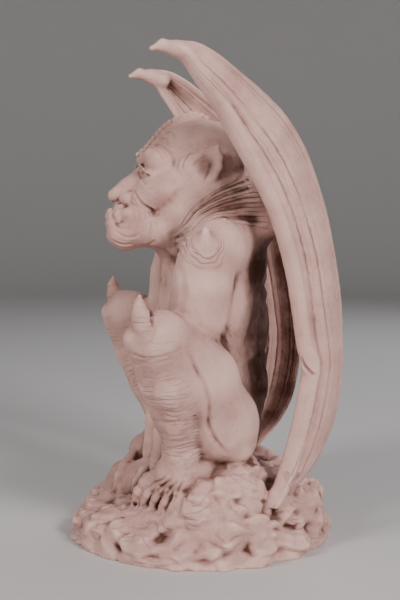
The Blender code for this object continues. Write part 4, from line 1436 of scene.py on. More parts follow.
@dataclass
class Legs:
    """The folded legs with spiked knees, and the feet spread on the rock.

    Attributes:
        toe: The radius of a toe.
        toes: How many toes a foot has.
        shifts: How the right leg's knee, heel and toes stand off from the left one's.
    """

    toe: float = 5.6
    toes: int = 5
    shifts: dict[int, tuple[Place, Place, Place]] = field(default_factory=lambda: {
        1: ((0, 0, 0), (0, 0, 0), (0, 0, 0)),
        -1: ((0, -2.5, 3), (5, 4, -3), (3, -11, -3)),
    })

    def model(self, clay: Clay) -> None:
        """Lays both legs' forms in the block."""
        for side in SIDES:
            knee, heel, foot = self.shifts[side]
            clay.limb(mirrored([(36, 10, 108, 29), (58, 6, 116, 36), (79, -13, 160, 32),
                                (99, -48, 197, 25)], side), 9)
            clay.bone(*mirrored([(46, 12, 96, 27), (36, 10, 108, 29)], side), 9)
            clay.limb(mirrored([(48, 14, 104, 24), (62, 22, 101, 17.5), (73, 20, 96, 14), (50, 20, 95, 17)],
                               side), 4)
            clay.bone(*mirrored([(64, 14, 122, 27), (64, 22, 100, 17)], side), 5)
            clay.limb(mirrored([(103, -57, 202, 21.5), (103, -55, 192, 21.5), (96, -44, 160, 20)], side,
                               knee), 7)
            calf = mirrored([(96, -40, 182, 19), (90, -33, 156, 20), (78, -25, 124, 16)], side, knee)
            clay.limb(calf, 8)
            shin = mirrored([(96, -43, 160, 20), (82, -35, 126, 17)], side, knee)
            clay.limb(shin + mirrored([(70, -28, 98, 17)], side, heel), 7)
            clay.limb(mirrored([(108, -74, 200, 9), (99, -60, 160, 8), (84, -48, 128, 7)], side, knee), 7)
            spike = [(111, -63, 200, 9), (114, -66.5, 210, 9.4), (114.5, -69, 219, 8.2),
                     (114, -70.5, 228.5, 5.4),
                     (113, -70, 236, 1.8)]
            clay.limb(mirrored(spike, side, knee), 1.5)
            self.foot(clay, side, heel, foot)

    def toe_line(self, share: float) -> tuple[Place, Place, Place, Place]:
        """Returns a toe's root, knuckle, joint and tip, from the inner toe at 0 to the outer at 1."""
        root = (56 + 18 * share, -42 + 16 * share, 76)
        knuckle = (41 + 36 * share, -57 + 26 * share, 59.5 - 1.5 * share)
        joint = (37.5 + 39 * share, -62.5 + 27 * share, 50.5 - 4.4 * share)
        tip = (34 + 42.5 * share, -69 + 27.5 * share, 37.5)
        return root, knuckle, joint, tip

    def foot(self, clay: Clay, side: int, heel: Place, shift: Place) -> None:
        """Lays one foot: heel, ankle bones, instep, tendons, toes, nails and webs.

        Args:
            clay: The block.
            side: The side that the foot is on.
            heel: How far the heel is moved.
            shift: How far the toes are moved.
        """
        sole = mirrored([(69, -27, 92, 15), (68, -10, 78, 12)], side, heel)
        instep = mirrored([(60, -38, 73, 11), (72, -27, 70, 11)], side, shift)
        clay.bone(sole[0], sole[1], 7)
        clay.bone(instep[0], instep[1], 6)
        for start in sole:
            for end in instep:
                clay.bone(start, end, 7)
        clay.egg((side * 81 + heel[0], -22 + heel[1], 95 + heel[2]), (5, 6.5, 7), 5)
        for index in range(self.toes):
            share = index / (self.toes - 1)
            size = self.toe * (1.12 if index == 0 else 1.0 - 0.03 * index)
            root, knuckle, joint, tip = self.toe_line(share)
            ankle = (63 + 12 * share, -33 + 10 * share, 90, size * 0.5)
            clay.limb(mirrored([(63 + 10 * share, -32 + 12 * share, 79, 9),
                                (*knuckle[:2], knuckle[2] - 6, 4)],
                               side, shift), 2)
            clay.limb(mirrored([ankle, (*root, size * 0.7), (*knuckle, size * 1.12)], side, shift), 1.4)
            mid = ((joint[0] + tip[0]) / 2, (joint[1] + tip[1]) / 2 + 1.0, (joint[2] + tip[2]) / 2 - 0.5)
            waist = tuple((knuckle[axis] + joint[axis]) / 2 for axis in range(3))
            clay.limb(mirrored([(*knuckle, size), (*waist, size * 0.78), (*joint, size), (*mid, size * 0.74)],
                               side, shift), 0.9)
            nail = (mid[0], mid[1] - 1.8, mid[2] + 2.2, 2.9)
            clay.bone(*mirrored([nail, (*tip, 1.5)], side, shift), 0.5)
            if index:
                _, knuckle, joint, tip = self.toe_line(share - 0.5 / (self.toes - 1))
                web = [(knuckle[0], knuckle[1] + 5.5, knuckle[2] - 5, 3.4),
                       (joint[0], joint[1] + 5, joint[2] - 3, 3.4), (tip[0], tip[1] + 4.5, tip[2] - 2, 3.4)]
                clay.limb(mirrored(web, side, shift), 0.6)

    def carve(self, carving: Carving) -> None:
        """Presses the wrinkles of the knees, shins, ankles and toes."""
        for side in SIDES:
            knee, heel, foot = self.shifts[side]
            carving.wrinkle(Rings((114, -67, 206), (113, -70, 236), 12, [0.02, 0.17, 0.31, 0.45], 0.8, 0.7,
                                  0.8, 11),
                            side, knee)
            carving.wrinkle(Rings((103, -56, 196), (98, -46, 165), 32, [0.2, 0.86], 0.7, 1.2, 5.0, 21),
                            side, knee)
            carving.wrinkle(Rings((98, -46, 165), (82, -36, 126), 27, [0.25, 0.52, 0.8], 0.8, 1.2, 4.0, 31),
                            side, knee)
            carving.wrinkle(Rings((82, -35, 126), (69, -27, 98), 24, [0.1, 0.34, 0.55, 0.8, 1.0], 0.9, 1.1,
                                  2.4,
                                  41), side, heel)
            for index in range(self.toes):
                _, knuckle, joint, _ = self.toe_line(index / (self.toes - 1))
                carving.wrinkle(Rings(knuckle, joint, 8, [0.95], 0.7, 0.7, 0.4, 61 + index), side, foot)
        calf = [
            Stroke([(-62, 226), (-60.5, 217), (-60, 209), (-62.5, 201), (-68, 197.5), (-75, 199)], 1.5, 2.4,
                   lip=0.1),
            Stroke([(-30, 196), (-27, 184), (-21, 170), (-14, 155), (-10, 138), (-9, 122), (-2, 108),
                    (6, 98), (15, 92)],
                   1.9, 2.4, lip=0.2),
            Stroke([(-80, 190), (-70, 186), (-55, 186.5), (-42, 191)], 1.2, 0.9),
            Stroke([(-78, 184), (-68, 181.5), (-55, 181.5), (-40, 185)], 1.1, 0.6),
        ]
        carving.both_sides(calf)
        for side in SIDES:
            for index in range(self.toes - 1):
                root, knuckle, joint, _ = self.toe_line((index + 0.5) / (self.toes - 1))
                start = tuple(0.8 * root[axis] + 0.2 * knuckle[axis] for axis in (1, 2))
                path = [start, (knuckle[1] + 1, knuckle[2] + 2), (joint[1] + 1, joint[2] + 4)]
                carving.stroke(Stroke(path, 1.2, 1.7, lip=0.3), side, self.shifts[side][2])

    def lines(self, creases: Creases) -> None:
        """Lays hair-fine wrinkles on the knees, the shins and the ankles."""
        for side in SIDES:
            knee, heel, _ = self.shifts[side]
            creases.rings((113, -66, 204, 13), (113, -70, 238, 13), side, knee, 4.0, 1.2, 0.6, 21)
            creases.rings((101, -54, 206, 32), (98, -46, 166, 32), side, knee, 5.2, 3.4, 0.35, 24)
            creases.rings((98, -46, 170, 28), (82, -36, 122, 28), side, knee, 4.2, 2.2, 0.6, 27)
            creases.rings((83, -36, 125, 25), (70, -30, 84, 25), side, heel, 3.6, 1.6, 0.65, 31)


@dataclass
class Wing:
    """A tall ribbed wing: a curved blade with a thick leading finger and finer ones behind.

    Attributes:
        front: Places along the leading edge, from the claw down to the tip.
        rear: Places along the trailing edge.
        bone: The radius of the leading finger.
        web: The thickness of the blade.
        bulge: How far the blade arches outwards.
        fingers: Where each ridge starts and ends across the blade, as shares, and its radii.
        grooves: Where each fine groove starts and ends across the blade, its width and depth.
        lines_across: Where each hair-fine line lies above the notch and below it, and its depth.
        scores: How many short faint scores the outer face has.
    """

    front: list[Place] = field(default_factory=lambda: [
        (90, -36, 437), (91, -29, 430), (92, -15, 409), (94, 1, 386), (95, 16, 359), (96, 31, 332),
        (97, 46, 300), (97, 57, 265), (98, 64, 230), (98, 70, 190), (98, 75, 170), (97, 72.5, 152),
        (95, 69, 130), (93, 63.5, 105), (91, 54.5, 74), (90, 44, 46),
    ])
    rear: list[Place] = field(default_factory=lambda: [
        (90, -36, 450), (89, -19, 450), (88, -1, 442), (86, 21, 426), (83, 43, 409), (79, 64, 389),
        (76, 83, 358), (74, 99, 315), (72, 109.5, 272), (71, 116, 230), (71, 117.5, 190), (71, 117.5, 158),
        (71, 113, 128), (72, 106, 106), (77, 89, 78), (86, 55, 44),
    ])
    bone: float = 6.6
    web: float = 5.6
    bulge: float = 9.0
    fingers: tuple[tuple[float, float, float, float], ...] = (
        (0.38, 0.39, 2.7, 3.4), (0.79, 0.80, 1.9, 2.3), (0.90, 0.91, 1.7, 2.0),
    )
    grooves: tuple[tuple[float, float, float, float], ...] = (
        (0.29, 0.24, 1.4, 1.7), (0.46, 0.45, 1.1, 1.2), (0.845, 0.85, 1.0, 0.6), (0.95, 0.955, 0.8, 0.4),
    )
    lines_across: tuple[tuple[float, float, float], ...] = (
        (0.13, 0.10, 0.15), (0.29, 0.25, 0.8), (0.345, 0.33, 0.35), (0.46, 0.45, 0.9), (0.56, 0.57, 0.2),
        (0.755, 0.76, 0.4), (0.84, 0.84, 0.5), (0.94, 0.94, 0.35),
    )
    scores: int = 16

    def middle(self, across: np.ndarray, along: np.ndarray) -> tuple[np.ndarray, np.ndarray, np.ndarray]:
        """Reads places on the middle sheet of the blade.

        Args:
            across: Shares of the way from the front edge to the rear one.
            along: Shares of the way from the claw to the tip, one for each.

        Returns:
            The places, the outward directions and the widths of the blade there.
        """
        steps = 240
        front = spline(self.front, steps)
        rear = spline(self.rear, steps)
        index = along * (steps - 1)
        ordinal = np.arange(steps)
        front = np.stack([np.interp(index, ordinal, front[:, axis]) for axis in range(3)], axis=1)
        rear = np.stack([np.interp(index, ordinal, rear[:, axis]) for axis in range(3)], axis=1)
        chord = rear - front
        width = np.linalg.norm(chord, axis=1)
        outward = np.stack([chord[:, 1], -chord[:, 0], np.zeros(len(chord))], axis=1)
        outward /= np.maximum(np.linalg.norm(outward, axis=1, keepdims=True), 1e-6)
        outward *= np.sign(outward[:, :1] + 1e-9)
        arch = np.sin(math.pi * across) * self.bulge * np.minimum(1.0, width / 40.0)
        place = front + chord * across[:, None] + outward * arch[:, None]
        return place, outward, width

    def blade(self) -> tuple[np.ndarray, np.ndarray]:
        """Meshes the closed blade of the left wing."""
        columns = 44
        rows = 240
        across, along = np.meshgrid(np.linspace(0, 1, columns), np.linspace(0, 1, rows))
        across = across.ravel()
        along = along.ravel()
        place, outward, width = self.middle(across, along)
        share = np.minimum(0.45, self.bone / np.maximum(width, self.bone))
        half = np.full(len(across), self.web / 2)
        edge = np.minimum(across, 1.0 - across) / share
        half *= np.sqrt(np.clip(1.0 - (1.0 - np.minimum(edge, 1.0)) ** 2, 0.0, 1.0))
        bone = np.clip(1.0 - np.abs(across - share) / share, 0.0, 1.0)
        half = np.maximum(half, self.bone * np.sqrt(np.clip(1.0 - (1.0 - bone) ** 2, 0.0, 1.0)) * (bone > 0))
        outer = (place + outward * half[:, None]).reshape(rows, columns, 3)
        inner = (place - outward * half[:, None]).reshape(rows, columns, 3)[:, ::-1]
        ring = np.concatenate([outer, inner], axis=1)
        count = ring.shape[1]
        points = ring.reshape(-1, 3)
        row, column = np.meshgrid(np.arange(rows - 1), np.arange(count), indexing="ij")
        after = (column + 1) % count
        quads = np.stack([row * count + column, (row + 1) * count + column, (row + 1) * count + after,
                          row * count + after], axis=-1).reshape(-1, 4)
        caps = []
        for start, order in ((0, 1), ((rows - 1) * count, -1)):
            for index in range(columns - 1):
                cap = [start + index, start + index + 1, start + count - 2 - index, start + count - 1 - index]
                caps.append(cap[::order])
        return points, np.concatenate([quads, np.array(caps)])

    def line(self, first: float, last: float, begin: float, end: float, lift: float) -> np.ndarray:
        """Reads a line that runs down the blade.

        Args:
            first: Where it starts across the blade, as a share.
            last: Where it ends across the blade.
            begin: Where it starts along the blade, as a share.
            end: Where it ends along the blade.
            lift: How far it is lifted off the middle sheet.

        Returns:
            Its points.
        """
        share = np.linspace(0.0, 1.0, 70)
        along = begin + (end - begin) * share
        place, outward, _ = self.middle(first + (last - first) * share, along)
        return place + outward * lift

    def model(self, clay: Clay, side: int, stone: bpy.types.Material) -> None:
        """Lays one wing's forms in the block.

        Args:
            clay: The block.
            side: The side that the wing is on.
            stone: The material that the grown ribs carry.
        """
        flip = np.array([side, 1, 1])
        points, faces = self.blade()
        clay.add_mesh(points * flip, faces if side > 0 else faces[:, ::-1], 1.0)
        tree = rib_tree()
        for first, last, thin, thick in self.fingers:
            for lift in (self.web * 0.30, -self.web * 0.34):
                path = self.line(first, last, 0.10, 0.97, lift) * flip
                inputs = {"Start Radius": thin, "End Radius": thick, "Material": stone}
                clay.add_mesh(*tree.grow(path, inputs), 1.8)
        clay.limb(mirrored([(90, -24, 440, 7.6), (90, -36, 443.5, 6.4), (90, -47, 446, 4.9),
                            (90, -56, 443.5, 2.2)],
                           side), 3)
        clay.limb(mirrored([(30, 28, 300, 24), (52, 38, 318, 18), (76, 42, 344, 11), (88, 14, 384, 5)],
                           side), 12)
        clay.limb(mirrored([(28, 32, 262, 17), (54, 50, 296, 12), (80, 74, 306, 6)], side), 12)
        clay.limb(mirrored([(89, 52, 56, 6), (88.5, 46, 46, 4), (88, 43, 40, 1.5)], side), 3)

    def lines(self, creases: Creases, side: int) -> None:
        """Lays the hair-fine lines that run down one wing."""
        rows = 160
        columns = 30
        across, along = np.meshgrid(np.linspace(0, 1, columns), np.linspace(0, 1, rows))
        grid, _, _ = self.middle(across.ravel(), along.ravel())
        grid = (grid * np.array([side, 1, 1])).reshape(rows, columns, 3)
        chosen = np.flatnonzero((creases.points[:, 0] * side > 60) & (creases.points[:, 1] > -60))
        points = creases.points[chosen]
        across, along, gap = creases.sheet(points, grid)
        lower = smooth_step(0.5, 0.7, along)
        width = self.middle(across.clip(0, 1), along)[2]
        across = across + lattice_noise(points, 30.0, 44) * 0.008 + lattice_noise(points, 11.0, 45) * 0.004
        knots = [np.full(len(points), -0.1)]
        marks = [-1.0]
        depths = [np.zeros(len(points))]
        for number, (above, below, strength) in enumerate(self.lines_across):
            middle = above + (below - above) * lower
            half = np.minimum(1.6 / np.maximum(width, 8.0), 0.028)
            knots += [middle - half, middle + half]
            marks += [number - 0.25, number + 0.25]
            depths += [strength, strength]
        knots.append(np.full(len(points), 1.1))
        marks.append(len(self.lines_across))
        depths.append(0.0)
        place = np.zeros(len(points))
        depth = np.zeros(len(points))
        for index in range(len(knots) - 1):
            share = (across - knots[index]) / (knots[index + 1] - knots[index])
            held = (share >= 0) & (share < 1)
            place[held] = (marks[index] + (marks[index + 1] - marks[index]) * share)[held]
            depth[held] = (depths[index] + (depths[index + 1] - depths[index]) * share)[held]
        depth *= (1.0 - smooth_step(6.5, 9.0, gap)) * smooth_step(0.02, 0.12, along)
        depth *= 1.0 - smooth_step(0.93, 0.99, along)
        depth *= np.clip(0.75 + lattice_noise(points, 26.0, 46), 0.15, 1.0)
        creases.lay(chosen, place, depth)

    def carve(self, carving: Carving, side: int) -> None:
        """Draws the grooves between the fingers and the fine lines of the web."""
        flip = np.array([side, 1, 1])
        for first, last, width, depth in self.grooves:
            for lift in (self.web * 0.5, -self.web * 0.5):
                path = self.line(first, last, 0.06, 0.93, lift) * flip
                carving.draw(path, width, depth, 0.3)
        notch = Stroke([(72.5, 181), (76, 173), (80, 167.5), (86, 163)], 1.3, 2.4, lip=0.5)
        carving.stroke(notch, side)
        pick = random.Random(12)
        for _ in range(self.scores):
            across = pick.uniform(0.08, 0.95)
            begin = pick.uniform(0.1, 0.75)
            last = across + pick.uniform(-0.02, 0.02)
            end = begin + pick.uniform(0.08, 0.22)
            path = self.line(across, last, begin, end, self.web * 0.5) * flip
            carving.draw(path, 1.0, pick.uniform(0.2, 0.4), 0.3)


def find_or_make_group(name: str, inputs: dict[str, float],
                       outputs: tuple[str, ...]) -> tuple[bpy.types.NodeTree, bool]:
    """Finds a shader group by its name, or starts it with its sockets.

    Args:
        name: The name of the group.
        inputs: The names and the values of its inputs.
        outputs: The names of its outputs.

    Returns:
        The group, and whether it is new.
    """
    if name in bpy.data.node_groups:
        return bpy.data.node_groups[name], False
    group = bpy.data.node_groups.new(name, "ShaderNodeTree")
    for label, value in inputs.items():
        socket = group.interface.new_socket(label, in_out="INPUT", socket_type="NodeSocketFloat")
        socket.default_value = value
    for label in outputs:
        group.interface.new_socket(label, in_out="OUTPUT", socket_type="NodeSocketFloat")
    return group, True


def add_node(tree: bpy.types.NodeTree, kind: str, inputs: dict[str | int, float] | None = None,
             **settings: object) -> bpy.types.Node:
    """Adds a node to a shader tree.

    Args:
        tree: The tree.
        kind: The node's type.
        inputs: The values of some of its inputs.
        settings: Its own settings, such as its operation.

    Returns:
        The node.
    """
    node = tree.nodes.new(kind)
    for name, value in settings.items():
        setattr(node, name, value)
    for key, value in (inputs or {}).items():
        node.inputs[key].default_value = value
    return node


def grain_group() -> bpy.types.NodeTree:
    """Builds the group of cast stone's grain: blotches, dark specks and a rough height."""
    inputs = {"Blotch Scale": 28.0, "Speck Scale": 330.0, "Speck Share": 0.36, "Grain Scale": 900.0}
    group, new = find_or_make_group("stone grain", inputs, ("Blotches", "Specks", "Height"))
    if not new:
        return group
    source = add_node(group, "NodeGroupInput")
    sink = add_node(group, "NodeGroupOutput")
    where = add_node(group, "ShaderNodeTexCoord")
    blotch = add_node(group, "ShaderNodeTexNoise", {"Detail": 6.0, "Roughness": 0.62})
    speck = add_node(group, "ShaderNodeTexVoronoi", feature="F1")
    gate = add_node(group, "ShaderNodeTexNoise", {"Scale": 60.0, "Detail": 3.0})
    size = add_node(group, "ShaderNodeMath", operation="MULTIPLY")
    dot = add_node(group, "ShaderNodeMapRange", {"From Min": 0.0, "To Min": 1.0, "To Max": 0.0})
    grain = add_node(group, "ShaderNodeTexNoise", {"Detail": 4.0, "Roughness": 0.7})
    sink_pits = add_node(group, "ShaderNodeMath", operation="SUBTRACT")
    for texture in (blotch, speck, gate, grain):
        group.links.new(where.outputs["Object"], texture.inputs["Vector"])
    for name, texture in (("Blotch Scale", blotch), ("Speck Scale", speck), ("Grain Scale", grain)):
        group.links.new(source.outputs[name], texture.inputs["Scale"])
    group.links.new(gate.outputs[0], size.inputs[0])
    group.links.new(source.outputs["Speck Share"], size.inputs[1])
    group.links.new(speck.outputs["Distance"], dot.inputs["Value"])
    group.links.new(size.outputs[0], dot.inputs["From Max"])
    group.links.new(grain.outputs[0], sink_pits.inputs[0])
    group.links.new(dot.outputs[0], sink_pits.inputs[1])
    for name, node in (("Blotches", blotch), ("Specks", dot), ("Height", sink_pits)):
        group.links.new(node.outputs[0], sink.inputs[name])
    return group


def scratch_group() -> bpy.types.NodeTree:
    """Builds the group of tool marks: short fine scratches that run mostly downwards."""
    group, new = find_or_make_group("tool marks", {"Scale": 260.0, "Stretch": 0.16}, ("Height",))
    if not new:
        return group
    source = add_node(group, "NodeGroupInput")
    sink = add_node(group, "NodeGroupOutput")
    where = add_node(group, "ShaderNodeTexCoord")
    stretch = add_node(group, "ShaderNodeCombineXYZ", {"X": 1.0, "Y": 1.0})
    longer = add_node(group, "ShaderNodeVectorMath", operation="MULTIPLY")
    fibre = add_node(group, "ShaderNodeTexNoise", {"Detail": 3.0, "Roughness": 0.6})
    group.links.new(source.outputs["Stretch"], stretch.inputs["Z"])
    group.links.new(where.outputs["Object"], longer.inputs[0])
    group.links.new(stretch.outputs[0], longer.inputs[1])
    group.links.new(longer.outputs[0], fibre.inputs["Vector"])
    group.links.new(source.outputs["Scale"], fibre.inputs["Scale"])
    group.links.new(fibre.outputs[0], sink.inputs["Height"])
    return group


def crease_group() -> bpy.types.NodeTree:
    """Builds the group of hair-fine lines, drawn where a place across them is a whole number."""
    inputs = {"Place": 0.0, "Depth": 0.0, "Waver": 0.16, "Half Width": 0.2}
    group, new = find_or_make_group("hair-fine lines", inputs, ("Lines", "Height"))
    if not new:
        return group
    source = add_node(group, "NodeGroupInput")
    sink = add_node(group, "NodeGroupOutput")
    where = add_node(group, "ShaderNodeTexCoord")
    noise = add_node(group, "ShaderNodeTexNoise", {"Scale": 240.0, "Detail": 3.0})
    centred = add_node(group, "ShaderNodeMath", {1: 0.5}, operation="SUBTRACT")
    moved = add_node(group, "ShaderNodeMath", operation="MULTIPLY_ADD")
    part = add_node(group, "ShaderNodeMath", operation="FRACT")
    half = add_node(group, "ShaderNodeMath", {1: 0.5}, operation="SUBTRACT")
    away = add_node(group, "ShaderNodeMath", operation="ABSOLUTE")
    gap = add_node(group, "ShaderNodeMath", {0: 0.5}, operation="SUBTRACT")
    soft = add_node(group, "ShaderNodeMapRange", {"To Min": 1.0, "To Max": 0.0},
                    interpolation_type="SMOOTHSTEP")
    lines = add_node(group, "ShaderNodeMath", operation="MULTIPLY")
    height = add_node(group, "ShaderNodeMath", {0: 1.0}, operation="SUBTRACT")
    group.links.new(where.outputs["Object"], noise.inputs["Vector"])
    for before, after in ((noise, centred), (centred, moved), (moved, part), (part, half), (half, away)):
        group.links.new(before.outputs[0], after.inputs[0])
    group.links.new(source.outputs["Waver"], moved.inputs[1])
    group.links.new(source.outputs["Place"], moved.inputs[2])
    group.links.new(away.outputs[0], gap.inputs[1])
    group.links.new(gap.outputs[0], soft.inputs["Value"])
    group.links.new(source.outputs["Half Width"], soft.inputs["From Max"])
    group.links.new(soft.outputs[0], lines.inputs[0])
    group.links.new(source.outputs["Depth"], lines.inputs[1])
    group.links.new(lines.outputs[0], height.inputs[1])
    group.links.new(lines.outputs[0], sink.inputs["Lines"])
    group.links.new(height.outputs[0], sink.inputs["Height"])
    return group


@dataclass(frozen=True)
class CastStone:
    """Pale pinkish cast stone with a red-brown patina in its recesses, darkened further there with painted
    shade.

    Attributes:
        pale: The colour of most of the stone.
        warm: The colour of its blotches.
        stain_and_shade_colour: The dark colour of its recesses, standing for the red-brown patina and for
            painted shade.
        speck: The colour of its specks.
        convex_edge_colour: The lighter colour laid on its convex edges.
        roughness: How rough its skin is.
        shine: How much light it throws back.
        line_stain_and_shade: How much of the patina and painted shade lies in a hair-fine line.
        speck_strength: How strongly the specks show.
    """

    pale: tuple[float, float, float] = (0.68, 0.42, 0.365)
    warm: tuple[float, float, float] = (0.48, 0.27, 0.23)
    stain_and_shade_colour: tuple[float, float, float] = (0.080, 0.026, 0.014)
    speck: tuple[float, float, float] = (0.10, 0.065, 0.055)
    convex_edge_colour: tuple[float, float, float] = (0.80, 0.52, 0.45)
    roughness: float = 0.78
    shine: float = 0.35
    line_stain_and_shade: float = 0.42
    speck_strength: float = 0.7

    def make(self) -> bpy.types.Material:
        """Builds the material."""
        stone = bpy.data.materials.new("cast_stone")
        stone.use_nodes = True
        tree = stone.node_tree
        shader = tree.nodes["Principled BSDF"]
        shader.inputs["Roughness"].default_value = self.roughness
        shader.inputs["Specular IOR Level"].default_value = self.shine
        grain, marks, creases = (add_node(tree, "ShaderNodeGroup", node_tree=group)
                                 for group in (grain_group(), scratch_group(), crease_group()))
        stain_and_shade, edge, place, depth = (add_node(tree, "ShaderNodeAttribute",
                                               attribute_name=name).outputs["Fac"]
                                      for name in ("stain_and_shade", "edge", "line_place", "line_depth"))
        tree.links.new(place, creases.inputs["Place"])
        tree.links.new(depth, creases.inputs["Depth"])
        spread = add_node(tree, "ShaderNodeMapRange", {"From Min": 0.38, "From Max": 0.72})
        uneven = add_node(tree, "ShaderNodeMapRange",
                          {"From Min": 0.3, "From Max": 0.7, "To Min": 0.55, "To Max": 1.15})
        for node in (spread, uneven):
            tree.links.new(grain.outputs["Blotches"], node.inputs["Value"])
        # Painted shade and patina in the hair-fine lines.
        lined = add_node(tree, "ShaderNodeMath", {1: self.line_stain_and_shade}, operation="MULTIPLY")
        tree.links.new(creases.outputs["Lines"], lined.inputs[0])
        # Painted shade and red-brown patina: the baked share from the recesses, varied by the blotches, plus
        # the hair-fine lines.
        stain_and_shade_mix = add_node(tree, "ShaderNodeMath", operation="MULTIPLY_ADD", use_clamp=True)
        for number, value in enumerate((stain_and_shade, uneven.outputs[0], lined.outputs[0])):
            tree.links.new(value, stain_and_shade_mix.inputs[number])
        dots = add_node(tree, "ShaderNodeMath", {1: self.speck_strength}, operation="MULTIPLY")
        tree.links.new(grain.outputs["Specks"], dots.inputs[0])
        colour = None
        # The third layer lays the painted shade and the red-brown patina.
        layers = ((self.warm, spread.outputs[0]), (self.convex_edge_colour, edge), (self.stain_and_shade_colour, stain_and_shade_mix.outputs[0]),
                  (self.speck, dots.outputs[0]))
        for paint, share in layers:
            colour = self.over(tree, colour, paint, share)
        tree.links.new(colour, shader.inputs["Base Color"])
        normal = None
        for height, strength, distance in ((marks, 0.35, 0.0009), (creases, 0.8, 0.0011),
                                           (grain, 0.32, 0.0006)):
            bump = add_node(tree, "ShaderNodeBump", {"Strength": strength, "Distance": distance})
            tree.links.new(height.outputs["Height"], bump.inputs["Height"])
            if normal is not None:
                tree.links.new(normal, bump.inputs["Normal"])
            normal = bump.outputs["Normal"]
        tree.links.new(normal, shader.inputs["Normal"])
        return stone

    def over(self, tree: bpy.types.NodeTree, under: bpy.types.NodeSocket | None,
             paint: tuple[float, float, float], share: bpy.types.NodeSocket) -> bpy.types.NodeSocket:
        """Lays a colour over another one.

        Args:
            tree: The material's tree.
            under: The colour that it is laid on, or None for the pale stone.
            paint: The colour that is laid.
            share: How much of it shows.

        Returns:
            The mixed colour.
        """
        mix = add_node(tree, "ShaderNodeMix", {6: (*self.pale, 1.0), 7: (*paint, 1.0)}, data_type="RGBA")
        if under is not None:
            tree.links.new(under, mix.inputs[6])
        tree.links.new(share, mix.inputs["Factor"])
        return mix.outputs[2]


def gap_to(points: np.ndarray, place: Place) -> np.ndarray:
    """Returns how far points are from a place on the left side, or from its mirror on the right."""
    x, y, z = place
    gap = np.stack([np.abs(points[:, 0]) - x, points[:, 1] - y, points[:, 2] - z])
    return np.linalg.norm(gap, axis=0)


